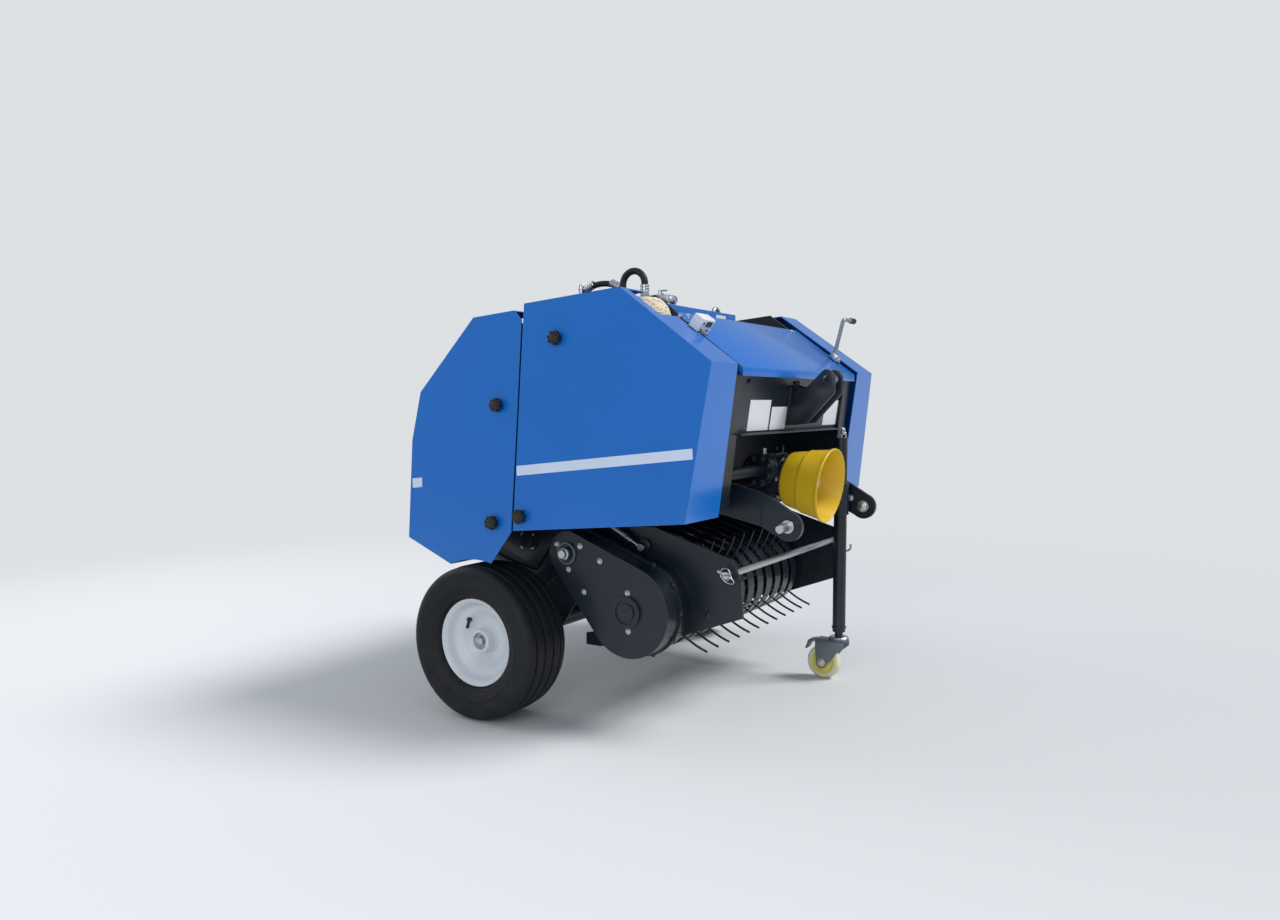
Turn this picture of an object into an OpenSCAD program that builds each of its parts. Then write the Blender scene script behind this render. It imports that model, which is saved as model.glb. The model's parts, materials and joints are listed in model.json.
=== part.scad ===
// Small round baler carried on a tractor's three-point hitch, parked on its two wheels and a castor leg.
// X points forward, towards the tractor, Y to the machine's left and Z up.
// Lengths along X are given from the wheel axle; place() then puts the origin mid-length, on the ground.

/* [Chamber] */
// Inside width of the bale chamber, between the side walls
chamber_w = 700; // [600:10:800]
// Centre of the bale, ahead of the axle
chamber_x = 100; // [98:1:102]
// Centre of the bale, above the ground
chamber_z = 705; // [703:1:707]
// Radius of the ring on which the rollers lie
ring_r = 290; // [288:1:291]
// Diameter of a roller's tube
roller_d = 84; // [70:1:86]
// Height of the ribs on a roller
roller_rib = 6; // [4:1:7]
// Number of ribs on a roller
roller_ribs = 8; // [4:1:10]
// Diameter of the journals of rollers and reel
journal_d = 30; // [20:1:34]
// Thickness of a side wall
wall_t = 6; // [4:1:6]

/* [Covers] */
// Thickness of the cover sheet
sheet_t = 3; // [2:0.5:4]
// Where the front and rear covers part
split_x = 113; // [112:1:114]
// Gap between the front and rear covers
split_gap = 6; // [6:0.5:8]
// Half width at the front top corner of the side covers
cover_y = 551; // [545:1:560]
// Lean of the side covers, in at the top
cover_lean = 5.1; // [4:0.1:6]
// Half distance between the inner edges of the side covers
cover_in_y = 418; // [412:1:424]
// Front cover, top rear corner
front_top_z = 1082; // [1078:1:1086]
// Front cover, peak
peak_x = 406; // [400:1:410]
// Front cover, height of the peak
peak_z = 1107; // [1104:1:1110]
// Front cover, corner at the top of the front
brow_x = 665; // [660:1:670]
// Front cover, height of that corner
brow_z = 922; // [918:1:926]
// Front cover, corner at the bottom of the front
chin_x = 615; // [610:1:620]
// Front cover, height of that corner
chin_z = 553; // [548:1:556]
// Front cover, height of the bottom rear corner
front_low_z = 503; // [500:1:508]

/* [Tailgate] */
// Tailgate pivot, ahead of the axle
pivot_x = 100; // [99:1:101]
// Tailgate pivot, above the ground
pivot_z = 1045; // [1044:1:1047]
// Diameter of the pivot pins
pivot_d = 30; // [24:1:30]
// Rearmost point of the tailgate, behind the axle
rear_x = 254; // [250:1:258]
// Height of the rear face's upper corner
rear_top_z = 726; // [720:1:732]
// Height of the rear face's lower corner
rear_low_z = 461; // [455:1:466]
// Height of the tailgate's lowest corner
apex_z = 363; // [360:1:368]
// Clearance of the tailgate's covers over the tyres
arch_gap = 14; // [12:1:20]

/* [Wheels] */
// Tyre diameter
tyre_d = 406; // [400:1:408]
// Tyre width
tyre_w = 165; // [150:1:168]
// Diameter of the rim's flange
rim_d = 232; // [226:1:236]
// Half track
track_y = 550; // [548:1:560]
// Diameter of the wheel spindle
spindle_d = 25; // [20:1:28]
// Diameter of the axle tube
axle_d = 60; // [50:1:64]

/* [Pickup] */
// Pickup reel axis, ahead of the axle
reel_x = 388; // [386:1:392]
// Pickup reel axis, above the ground
reel_z = 304; // [300:1:306]
// Radius swept by the tine tips
tine_r = 196; // [190:1:198]
// Distance between tines
tine_pitch = 62; // [58:1:62]
// Tines on a bar
tine_count = 12; // [8:2:12]
// Tine bars on the reel
tine_bars = 4; // [3:1:5]
// Thickness of a tine
tine_d = 6; // [5:0.5:8]
// Radius of a tine's forward bend
tine_bend_r = 250; // [230:5:300]
// Radius of the guard bands
band_r = 118; // [110:1:122]
// Width of a guard band
band_w = 38; // [30:1:40]
// Thickness of a guard band
band_t = 3; // [2:0.5:4]
// Windguard bar diameter
guard_bar_d = 18; // [14:1:20]

/* [Hitch] */
// Lower hitch pins, ahead of the axle
hitch_x = 738; // [730:1:745]
// Lower hitch pins, above the ground
hitch_z = 523; // [518:1:528]
// Half distance between the middles of the lower hitch plates
hitch_y = 277; // [270:1:284]
// Thickness of the hitch plates
hitch_t = 12; // [10:1:14]
// Diameter of the lower hitch pins
hitch_pin_d = 22; // [20:1:28]
// Length of a lower hitch pin outside its plate
hitch_pin_l = 57; // [50:1:60]
// Top link hole, ahead of the axle
mast_x = 735; // [728:1:740]
// Top link hole, above the ground
mast_z = 893; // [888:1:898]
// Diameter of the top link hole
mast_hole_d = 19.4; // [19:0.1:26]
// Gap between the mast's two plates
mast_gap = 50; // [44:1:54]
// Thickness of a mast plate
mast_t = 8; // [6:1:10]

/* [Drive] */
// Drive shaft guard, nose down
pto_tilt = 7; // [5:1:9]
// Drive shaft stub at the gearbox face, ahead of the axle
pto_x = 600; // [598:1:602]
// Drive shaft stub at the gearbox face, above the ground
pto_z = 621; // [618:1:624]
// Diameter of the drive shaft stub
pto_d = 34.9; // [30:0.1:36]
// Diameter of the guard's mouth
guard_mouth_d = 204; // [190:1:208]

/* [Parking leg] */
// Leg axis, ahead of the axle
leg_x = 678; // [672:1:682]
// Leg axis, to the left of the middle
leg_y = 245; // [243:1:246]
// Diameter of the leg tube
leg_d = 38; // [34:1:40]
// Top of the leg
leg_top = 725; // [715:1:735]
// Castor wheel diameter
castor_d = 100; // [98:1:104]
// Castor wheel width
castor_w = 32; // [28:1:34]
// Trail of the castor
castor_trail = 45; // [42:1:48]

/* [Cylinders] */
// Diameter of the tailgate cylinders
cyl_d = 50; // [40:1:52]
// Diameter of their rods
cyl_rod_d = 25; // [20:1:28]

/* [Hidden] */
$fn = 48;

big = 3000;
run = 0.05;      // radial clearance of a shaft in its bore
seat = 0.3;      // gap at a seat between curved or turning faces
side_gap = 5;    // gap between a roller's end and the wall

wall_y = chamber_w / 2;
wall_out = wall_y + wall_t;
gate_y = wall_y + 1;         // the tailgate's walls stand a little further out
gate_out = gate_y + wall_t;
front_edge = split_x + split_gap / 2;
gate_edge = split_x - split_gap / 2;
tyre_r = tyre_d / 2;

hitch_tip_r = 37;
front_reach = hitch_x + hitch_tip_r;
mid_x = (front_reach - rear_x) / 2;

blue = "#1d63b8";
dark = "#25303a";
bright = "#c9ced2";

// Angles of the rollers round the chamber, from the front, upwards
front_angles = [-78, -6, 30, 66];
gate_angles = [102, 138, 174, 210, 246];

// Outlines seen from the left side, as [x, z], anticlockwise
front_outline = [[front_edge, front_low_z], [chin_x, chin_z], [brow_x, brow_z], [peak_x, peak_z],
    [front_edge, front_top_z]];
gate_outline = [[gate_edge, 499], [gate_edge, pivot_z - 4], [84, 1066], [-54, 1054], [-232, 858],
    [-rear_x, rear_top_z], [6 - rear_x, rear_low_z], [12, apex_z]];

function unit(v) = v / norm(v);
function normal(p, i) = let (q = unit(p[(i + 1) % len(p)] - p[i])) [-q[1], q[0]];
// The outline with each edge moved inwards by its own distance
function moved(p, d) = [for (i = [0:len(p) - 1]) let (
    a = normal(p, (i + len(p) - 1) % len(p)), b = normal(p, i),
    ca = a * p[i] + d[(i + len(p) - 1) % len(p)], cb = b * p[i] + d[i], det = a[0] * b[1] - a[1] * b[0])
    [(ca * b[1] - cb * a[1]) / det, (a[0] * cb - b[0] * ca) / det]];
function inset(p, d) = moved(p, [for (i = p) d]);
// Points of an arc round c
function arc(c, r, from, to, n = 12) = [for (i = [0:n]) let (t = from + (to - from) * i / n)
    c + r * [cos(t), sin(t)]];
function ring_at(t) = [chamber_x + ring_r * cos(t), chamber_z + ring_r * sin(t)];

// Puts the origin mid-length
module place() { translate([-mid_x, 0, 0]) children(); }
// A profile in X and Z, drawn out along Y
module slab(p, y0, y1) { translate([0, y1, 0]) rotate([90, 0, 0]) linear_extrude(y1 - y0) polygon(p); }
// A cylinder along Y
module rod_y(x, z, r, y0, y1) { translate([x, y1, z]) rotate([90, 0, 0]) cylinder(r = r, h = y1 - y0); }
// The same thing on the right and on the left
module both() { children(); mirror([0, 1, 0]) children(); }
// All that lies inside the leaning plane of a left side cover
module under_lean(depth = 0) {
    translate([0, cover_y, brow_z]) rotate([cover_lean, 0, 0]) translate([-big / 2, -big, -big / 2])
        cube([big, big - depth, big]);
}

// A left side cover: a leaning face with a flange round the edges that aren't open
module pan(p, open) {
    difference() {
        intersection() { slab(p, cover_in_y, cover_y + 90); under_lean(); }
        intersection() {
            slab(moved(p, [for (i = [0:len(p) - 1]) open[i] ? -10 : sheet_t]), cover_in_y - 1, cover_y + 90);
            under_lean(sheet_t);
        }
    }
}

// The twine ball looks out of the near cover's slope
notch_x = 404;
notch_l = 96;
notch_d = 84;
// Knobs hold the covers on posts that stand on the walls
knob_places = [[227, 989], [142, 541]];
gate_knob_places = [[49, 822], [53, 520]];
post_r = 7;
module post_holes(places) { for (p = places) rod_y(p[0], p[1], post_r + seat, cover_in_y, cover_y + 120); }
module front_cover() {
    color(blue) difference() {
        pan(front_outline, [false, false, false, false, true]);
        post_holes(knob_places);
    }
}
module front_cover_left() { front_cover(); }
module front_cover_right() {
    difference() {
        mirror([0, 1, 0]) front_cover();
        color(blue) translate([notch_x, -cover_in_y - notch_d, 1000]) cube([notch_l, notch_d + 1, 200]);
    }
}
module gate_cover() {
    color(blue) difference() {
        pan(gate_outline, [true, true, false, false, false, false, false, true]);
        rod_y(0, tyre_r, tyre_r + arch_gap, cover_in_y - 2, cover_y + 100);
        post_holes(gate_knob_places);
    }
}
module gate_cover_left() { gate_cover(); }
module gate_cover_right() { mirror([0, 1, 0]) gate_cover(); }

// Hood: outer face from its top edge to its lip, and the height of its underside
hood_y = 404;
hood_top = [467, 1058];
hood_lip = [661, 916];
hood_rise = (hood_lip[1] - hood_top[1] + 2) / (hood_lip[0] - sheet_t - hood_top[0]);
function under_hood(x) = hood_top[1] - 4 + hood_rise * (x - hood_top[0]);

// Side walls
wall_outline = [[front_edge, 385], [front_edge + 2, 372], [-42, 262], [-56, tyre_r], [-42, 160], [42, 152],
    [70, 168], [150, 290], [262, 392], [300, 492], [440, 530], [606, 560], [650, under_hood(650)], [398, under_hood(398)],
    [front_edge, 1078]];
module bores(angles, r) {
    for (t = angles) let (c = ring_at(t)) rod_y(c[0], c[1], r, wall_y - 10, wall_out + 10);
}
// Flange bearings outside a wall
module bearing_caps(angles, from) {
    for (t = angles) let (c = ring_at(t)) {
        rod_y(c[0], c[1], 31, from, from + 5);
        rod_y(c[0], c[1], 22, from, from + 12);
    }
}
ear_r = 25;
// Outer face of the walls' front flange at a height
function flange_x(z) = 606 + 44 * (z - 560) / (under_hood(650) - 560);
module side_walls() {
    color(dark) both() difference() {
        union() {
            slab(wall_outline, wall_y, wall_out);
            rod_y(pivot_x, pivot_z, ear_r, wall_y, wall_out);
        }
        bores(front_angles, journal_d / 2 + run);
        rod_y(pivot_x, pivot_z, pivot_d / 2 + run, wall_y - 1, wall_out + 1);
        rod_y(0, tyre_r, axle_d / 2 + seat, wall_y - 1, wall_out + 1);
    }
    color(dark) both() {
        slab([[606, 560], [650, under_hood(650)], [646, under_hood(646)], [602, 560]], wall_out, wall_out + 44);
        bearing_caps([front_angles[1], front_angles[2]], wall_out);
    }
    color(dark) both() {
        rod_y(foot[0], foot[1], foot_pin_r, wall_out, cyl_y + 20);
        rod_y(foot[0], foot[1], 18, wall_out, cyl_y - 14 - seat);
        rod_y(foot[0], foot[1], 18, cyl_y + 14 + seat, cyl_y + 20);
    }
}

// Deck over the chamber and bulkhead in front of it
deck_gap = 7;
deck_z = chamber_z + ring_r + roller_d / 2 + deck_gap;
bulkhead_x = 446;
plate_t = 4;
module chamber_front() {
    color(dark) slab([[front_edge, deck_z], [bulkhead_x - plate_t, deck_z], [bulkhead_x - plate_t, 560],
        [bulkhead_x, 560], [bulkhead_x, deck_z + plate_t], [front_edge, deck_z + plate_t]], -wall_y, wall_y);
}

// Lower beam carries gearbox and hitch, upper beam carries the mast
lower_beam = [[480, 545], [540, 605]];
upper_beam = [[555, 770], [615, 860]];
module beam(b, wall) {
    difference() {
        slab([b[0], [b[1][0], b[0][1]], b[1], [b[0][0], b[1][1]]], -wall_y, wall_y);
        slab([b[0] + [wall, wall], [b[1][0] - wall, b[0][1] + wall], b[1] - [wall, wall],
            [b[0][0] + wall, b[1][1] - wall]], -wall_y - 1, wall_y + 1);
    }
}
module front_beams() { color(dark) { beam(lower_beam, 5); beam(upper_beam, 5); } }

// Axle tube and spindles
hub_in = track_y - 55;
module axle() {
    color(dark) {
        rod_y(0, tyre_r, axle_d / 2, -hub_in + 35, hub_in - 35);
        both() rod_y(0, tyre_r, 21, hub_in - 35.5, hub_in - seat);
        both() rod_y(0, tyre_r, spindle_d / 2, hub_in - 2, track_y + 32);
    }
}

// Wheels, drawn for the left side round the spindle
// Tyre section from the inner bead round the tread to the outer bead: tread ribs, then the whole outline
// as [radius, distance from the middle]
rim_r = rim_d / 2;
half_tyre = [[rim_r - 8, 52], [rim_r + 1, 52], [rim_r + 8, 66], [150, 79], [175, 82.5], [190, 79], [198, 72],
    [202, 62], [202, 50], [197, 49], [197, 44], [203, 43], [203, 22], [198, 21], [198, 16], [203, 15]];
// Rim section: flanges and well, dished disc and hub
rim_profile = [[spindle_d / 2 + run, -55], [30, -55], [30, -10], [44, -10], [58, -6], [70, 2], [80, 14],
    [86, 8], [90, -24], [98, -32], [103, -46], [103, -52], [110, -58], [rim_r, -58], [rim_r, -52.3],
    [rim_r - 8.3, -52.3], [rim_r - 8.3, 52.3], [rim_r, 52.3], [rim_r, 58], [110, 58], [103, 52],
    [101, 40], [96, 30], [90, 26], [84, 22], [76, 20], [66, 8], [56, 0], [44, -4], [30, -4], [30, 38],
    [spindle_d / 2 + run, 38]];
module on_axle() { translate([0, track_y, tyre_r]) rotate([-90, 0, 0]) children(); }
function sized(q, side) = [q[0] < 140 ? q[0] : q[0] * tyre_r / 203, side * q[1] * (q[0] < 140 ? 1 : tyre_w / 165)];
tyre_profile = concat([for (q = half_tyre) sized(q, -1)],
    [for (i = [len(half_tyre) - 1:-1:0]) sized(half_tyre[i], 1)]);
module tyre() {
    color("#1b1d20") on_axle() rotate_extrude() polygon(tyre_profile);
}
module rim() { color("white") on_axle() rotate_extrude() polygon(rim_profile); }
module tyre_left() { tyre(); }
module rim_left() { rim(); }
module tyre_right() { mirror([0, 1, 0]) tyre(); }
module rim_right() { mirror([0, 1, 0]) rim(); }

// Chamber rollers
module roller(t) {
    c = ring_at(t);
    half = wall_y - side_gap;
    color("#30373d") translate([c[0], 0, c[1]]) rotate([90, 0, 0]) {
        difference() {
            union() {
                cylinder(d = roller_d, h = 2 * half, center = true);
                for (i = [0:roller_ribs - 1]) rotate([0, 0, i * 360 / roller_ribs])
                    translate([roller_d / 2 - 2, -4, -half]) cube([roller_rib + 2, 8, 2 * half]);
            }
            cylinder(d = roller_d - 10, h = 2 * half + 2, center = true);
        }
        for (s = [-1, 1]) translate([0, 0, s * (half - 10)]) difference() {
            cylinder(d = roller_d - 9, h = 6, center = true);
            for (i = [0:3]) rotate([0, 0, i * 90]) translate([26, 0, 0]) cylinder(d = 12, h = 8, center = true);
        }
        cylinder(d = journal_d, h = 2 * wall_y + 10, center = true);
    }
}
module front_roller_1() { roller(front_angles[0]); }
module front_roller_2() { roller(front_angles[1]); }
module front_roller_3() { roller(front_angles[2]); }
module front_roller_4() { roller(front_angles[3]); }
module gate_roller_1() { roller(gate_angles[0]); }
module gate_roller_2() { roller(gate_angles[1]); }
module gate_roller_3() { roller(gate_angles[2]); }
module gate_roller_4() { roller(gate_angles[3]); }
module gate_roller_5() { roller(gate_angles[4]); }

// Tailgate walls with their ears and pins
wall_inset = sheet_t;
gate_wall_outline = let (p = moved(gate_outline, [0, 0, 30, wall_inset, wall_inset, wall_inset, wall_inset,
    wall_inset])) p;
module gate_walls() {
    color(dark) both() {
        difference() {
            slab(gate_wall_outline, gate_y, gate_out);
            bores(gate_angles, journal_d / 2 + run);
            rod_y(pivot_x, pivot_z, ear_r + 6, gate_y - 1, gate_out + 1);
        }
        slab(concat(arc([pivot_x, pivot_z], ear_r, 0, 150), [[20, 1020], [-20, 990], [-20, 930], [70, 930]],
            [[gate_edge, 960]]), gate_out, gate_out + wall_t);
        rod_y(pivot_x, pivot_z, pivot_d / 2, wall_y - 4, gate_out + wall_t + 4);
        bearing_caps(gate_angles, gate_out);
    }
}
beam_ring = 325;
module gate_beams() {
    color(dark) for (t = [120, 192, 228])
        rod_y(chamber_x + beam_ring * cos(t), chamber_z + beam_ring * sin(t), 17, -gate_y, gate_y);
}
rear_gap = 6;
module rear_cover() {
    p = inset(gate_outline, sheet_t);
    color(blue) slab([gate_outline[3], gate_outline[4], gate_outline[5], gate_outline[6],
        p[6], p[5], p[4], p[3]], -cover_in_y + rear_gap, cover_in_y - rear_gap);
}

// Tailgate cylinders: foot on the front wall, rod eye on the tailgate wall
foot = [330, 690];
eye = [0, 885];
cyl_y = wall_out + 32;
foot_pin_r = 12;
cyl_len = norm(eye - foot);
cyl_angle = atan2(eye[1] - foot[1], foot[0] - eye[0]);
module along_cylinder() { translate([foot[0], cyl_y, foot[1]]) rotate([0, -90 + cyl_angle, 0]) children(); }
barrel_l = 285;
module barrel() {
    color(dark) along_cylinder() {
        difference() {
            union() {
                translate([0, 0, 30]) cylinder(d = cyl_d, h = barrel_l - 30);
                translate([-20, -14, 0]) cube([40, 28, 32]);
                rotate([90, 0, 0]) cylinder(r = 20, h = 28, center = true);
            }
            rotate([90, 0, 0]) cylinder(r = foot_pin_r + run, h = 40, center = true);
            translate([0, 0, 60]) cylinder(d = cyl_rod_d + 2 * run, h = barrel_l);
        }
    }
}
module rod() {
    color(bright) along_cylinder() {
        translate([0, 0, 70]) cylinder(d = cyl_rod_d, h = cyl_len - 80);
        translate([0, 0, cyl_len]) rotate([90, 0, 0]) cylinder(r = 20, h = 26, center = true);
    }
    color(bright) rod_y(eye[0], eye[1], 10, gate_out + seat, cyl_y + 20);
}
module barrel_left() { barrel(); }
module barrel_right() { mirror([0, 1, 0]) barrel(); }
module rod_left() { rod(); }
module rod_right() { mirror([0, 1, 0]) rod(); }

// Hood, panel, mast
module hood() {
    color(blue) slab([hood_top, hood_top + [0, -4], hood_lip - [sheet_t, 2], hood_lip - [sheet_t + 1, 22],
        hood_lip - [0, 22], hood_lip], -hood_y, hood_y);
}
module front_panel() {
    color(dark) slab([[615, 748], [643, 748], [643, 752], [619, 752], [641, 905], [637, 905]], -wall_y, wall_y);
}
module mast() {
    tip_r = 36;
    color(dark) both() difference() {
        union() {
            slab([[621, 766], [684, 774], [mast_x + 28, mast_z - 24], [mast_x - 14, mast_z + 33], [668, 868],
                [637, 877]], mast_gap / 2, mast_gap / 2 + mast_t);
            rod_y(mast_x, mast_z, tip_r, mast_gap / 2, mast_gap / 2 + mast_t);
        }
        rod_y(mast_x, mast_z, mast_hole_d / 2, mast_gap / 2 - 1, mast_gap / 2 + mast_t + 1);
    }
}

// Lower hitch
module hitch_plates() {
    color(dark) both() difference() {
        union() {
            slab([[540, 545], [665, 519], [hitch_x - 8, hitch_z - 36], [hitch_x + 24, hitch_z + 28], [694, 592],
                [653, 607], [590, 622], [540, 630]], hitch_y - hitch_t / 2, hitch_y + hitch_t / 2);
            rod_y(hitch_x, hitch_z, hitch_tip_r, hitch_y - hitch_t / 2, hitch_y + hitch_t / 2);
        }
        rod_y(hitch_x, hitch_z, hitch_pin_d / 2 + run, 0, hitch_y + hitch_t);
    }
}
module hitch_pins() {
    out = hitch_y + hitch_t / 2;
    color(bright) both() {
        rod_y(hitch_x, hitch_z, hitch_pin_d / 2, hitch_y - hitch_t / 2 - 14, out + hitch_pin_l);
        rod_y(hitch_x, hitch_z, 17, out, out + 5);
        rod_y(hitch_x, hitch_z, 17, hitch_y - hitch_t / 2 - 14, hitch_y - hitch_t / 2);
    }
}

// Gearbox, stub shaft and its guard
module on_stub() { translate([pto_x, 0, pto_z]) rotate([0, 90 + pto_tilt, 0]) children(); }
gear_c = [566, 645];
gear_r = 42;
gear_y = 96;
module gearbox() {
    color(dark) difference() {
        union() {
            translate([540, -62, 552]) cube([52, 124, 120]);
            rod_y(gear_c[0], gear_c[1], gear_r, -gear_y, gear_y);
            both() rod_y(gear_c[0], gear_c[1], gear_r + 4, gear_y - 10, gear_y);
            rod_y(gear_c[0], gear_c[1], 16, -wall_y, -gear_y);
            for (x = [548, 564, 580]) translate([x, -58, 670]) cube([5, 116, 18]);
            on_stub() translate([0, 0, -40]) cylinder(r = 54, h = 58);
            on_stub() translate([0, 0, -8]) cylinder(r = 66, h = 14);
            translate([560, 30, 680]) cube([24, 10, 18]);
            rod_y(572, 700, 14, 30, 40);
        }
        rod_y(572, 700, 7, 29, 41);
        on_stub() translate([0, 0, -22]) cylinder(r = 20 + run, h = 60);
    }
}
module pto_shaft() {
    color(bright) on_stub() {
        translate([0, 0, -20]) cylinder(r = 20, h = 45);
        translate([0, 0, 20]) cylinder(d = pto_d, h = 84);
    }
}
guard_back = 18;
guard_l = 124;
guard_t = 3;
// Guard: a flat back with a round corner, a cone and a rolled mouth
module pto_guard() {
    m = guard_mouth_d / 2;
    corner = arc([62, guard_back + 14], 14, -90, -8, 5);
    outer = concat([[26, guard_back]], corner, [[m - 5, guard_back + guard_l - 10], [m, guard_back + guard_l - 6],
        [m, guard_back + guard_l]]);
    inner = [[m - guard_t, guard_back + guard_l], [m - guard_t, guard_back + guard_l - 5],
        [m - 5 - guard_t, guard_back + guard_l - 9], [76 - guard_t, guard_back + 14], [70, guard_back + 5],
        [62, guard_back + guard_t], [26, guard_back + guard_t]];
    color("#d8b417") on_stub() rotate_extrude() polygon(concat(outer, inner));
}

// Pickup: side plates, guard bands, bar, reel
side_plate = [[184, 172], [230, 172], [461, 224], [655, 298], [650, 389], [625, 441], [401, 507], [190, 505],
    [172, 440], [282, 330], [282, 226], [184, 204]];
bar_x = 618;
bar_z = 405;
module pickup_sides() {
    color(dark) both() difference() {
        slab(side_plate, wall_out, wall_out + wall_t);
        rod_y(reel_x, reel_z, journal_d / 2 + run, wall_out - 1, wall_out + wall_t + 1);
        rod_y(bar_x, bar_z, guard_bar_d / 2 + seat, wall_out - 1, wall_out + wall_t + 1);
    }
}
band_tail = [232, 472];
band_foot = 205;
module guard_bands() {
    c = [reel_x, reel_z];
    d = band_tail - c;
    start = atan2(d[1], d[0]) - acos(band_r / norm(d));
    outer = concat([band_tail], arc(c, band_r, start, -90, 18), [[band_foot, reel_z - band_r]]);
    inner = concat([[band_foot, reel_z - band_r + band_t]], arc(c, band_r - band_t, -90, start, 18),
        [band_tail + band_t * [-cos(start), -sin(start)]]);
    color("#20262c") {
        for (i = [-(tine_count / 2 - 1):tine_count / 2 - 1])
            slab(concat(outer, inner), i * tine_pitch - band_w / 2, i * tine_pitch + band_w / 2);
        rod_y(band_tail[0] - 6, band_tail[1] - 1, 9, -wall_y, wall_y);
        rod_y(band_foot - 6, reel_z - band_r + 1, 9, -wall_out, wall_out);
    }
}
module windguard_bar() { color("#8d949a") rod_y(bar_x, bar_z, guard_bar_d / 2, -wall_out - 30, wall_out + 30); }

bar_ring = 78;
bar_r = 11;
coil_r = 16;
coil_l = 18;
// A tine leaves its coil outwards and bends forward, all in one arc that ends short of the swept radius
tine_from = bar_ring + coil_r - 4;
tine_turn = asin((tine_r - 6 - tine_from) / tine_bend_r);
module tine(y) {
    translate([tine_from, tine_bend_r, y]) rotate([0, 0, -90]) rotate_extrude(angle = tine_turn)
        translate([tine_bend_r, 0]) circle(d = tine_d, $fn = 16);
    translate([bar_ring, 0, y]) cylinder(r = coil_r, h = coil_l, center = true);
}
module pickup_reel() {
    half = wall_y - 2;
    color("#15181b") translate([reel_x, 0, reel_z]) rotate([90, 0, 0]) {
        cylinder(d = 42, h = 2 * half, center = true);
        cylinder(d = journal_d, h = 2 * (wall_out + wall_t) - 1, center = true);
        for (s = [-1, 1]) translate([0, 0, s * (half - 3)]) cylinder(r = bar_ring + coil_r + 2, h = 6, center = true);
        for (b = [0:tine_bars - 1]) rotate([0, 0, b * 360 / tine_bars + 49]) {
            translate([bar_ring, 0, 0]) cylinder(r = bar_r, h = 2 * half, center = true);
            for (i = [0:tine_count - 1]) tine((i - (tine_count - 1) / 2) * tine_pitch);
        }
    }
}

// Chain case on the right: two shells that meet at a flange, drawn round the reel's axis and the top shaft
case_out = 112;
case_top = [203, 438];
case_r = 118;
case_top_r = 58;
case_seam = 48;
hub_r = 40;
function turn(v, t) = [v[0] * cos(t) - v[1] * sin(t), v[0] * sin(t) + v[1] * cos(t)];
// Corners of the belt round two circles
function tangents(c, r, d, q) = let (u = unit(d - c), t = acos((r - q) / norm(d - c)), a = turn(u, t), b = turn(u, -t))
    [c + r * a, d + q * a, d + q * b, c + r * b];
module case_shell(grow, y0, y1) {
    c = [reel_x, reel_z];
    rod_y(c[0], c[1], case_r + grow, y0, y1);
    rod_y(case_top[0], case_top[1], case_top_r + grow, y0, y1);
    slab(tangents(c, case_r + grow - 0.1, case_top, case_top_r + grow - 0.1), y0, y1);
}
module chain_case() {
    back = -wall_out - wall_t;
    face = back - case_out;
    color(dark) difference() {
        union() {
            case_shell(0, face, back);
            case_shell(6, back - case_seam - 6, back - case_seam);
            rod_y(reel_x, reel_z, hub_r, face - 8, face);
            rod_y(case_top[0], case_top[1], 29, face - 5, face);
        }
        rod_y(reel_x, reel_z, hub_r - 9, face - 9, face - 4);
    }
    color(dark) rod_y(reel_x, reel_z, hub_r - 18, face - 9, face);
    color(bright) rod_y(case_top[0], case_top[1], 12, face - 26, face);
}
module tension_springs() {
    y = wall_out + wall_t + 20;
    color(bright) both() {
        translate([250, y, 520]) rotate([0, 118, 0]) {
            cylinder(r = 9, h = 90);
            translate([0, 0, 88]) cylinder(r = 4, h = 50);
        }
        rod_y(250, 520, 6, wall_out, y + 6);
        rod_y(372, 455, 6, wall_out + wall_t, y + 6);
    }
}

// Twine ball on its shelf, counter, crank
ball_r = 60;
ball_c = [432, -449, deck_z - 10];
module twine_ball() { color("#d9cdb0") translate(ball_c) sphere(r = ball_r); }
module twine_box() {
    color(blue) translate([300, -336, deck_z + plate_t]) cube([125, 386, 34]);
    color(dark) translate([384, -wall_out - 130, ball_c[2] - ball_r - seat - 4]) cube([96, 130, 4]);
}
module on_hood(x) {
    d = hood_lip - hood_top;
    translate([x, 0, hood_top[1] + d[1] / d[0] * (x - hood_top[0])]) rotate([0, atan2(-d[1], d[0]), 0]) children();
}
module counter_box() {
    color("white") on_hood(545) translate([-14, 4 - hood_y, 0]) cube([28, 56, 40]);
}
crank_y = 380;
crank_l = 117;
crank_tilt = 14;
function hood_z(x) = hood_top[1] + (hood_lip[1] - hood_top[1]) / (hood_lip[0] - hood_top[0]) * (x - hood_top[0]);
module crank_lever() {
    color(bright) {
        on_hood(598) translate([-12, crank_y - 12, 0]) cube([24, 24, 20]);
        translate([602, crank_y, hood_z(602) + 12]) rotate([0, crank_tilt, 0]) {
            cylinder(d = 11, h = crank_l);
            translate([0, 0, crank_l]) sphere(d = 11);
            translate([0, 0, crank_l]) rotate([-90, 0, 0]) cylinder(d = 11, h = 40);
            translate([0, 38, crank_l]) rotate([-90, 0, 0]) cylinder(d = 19, h = 62);
        }
    }
}
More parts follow.
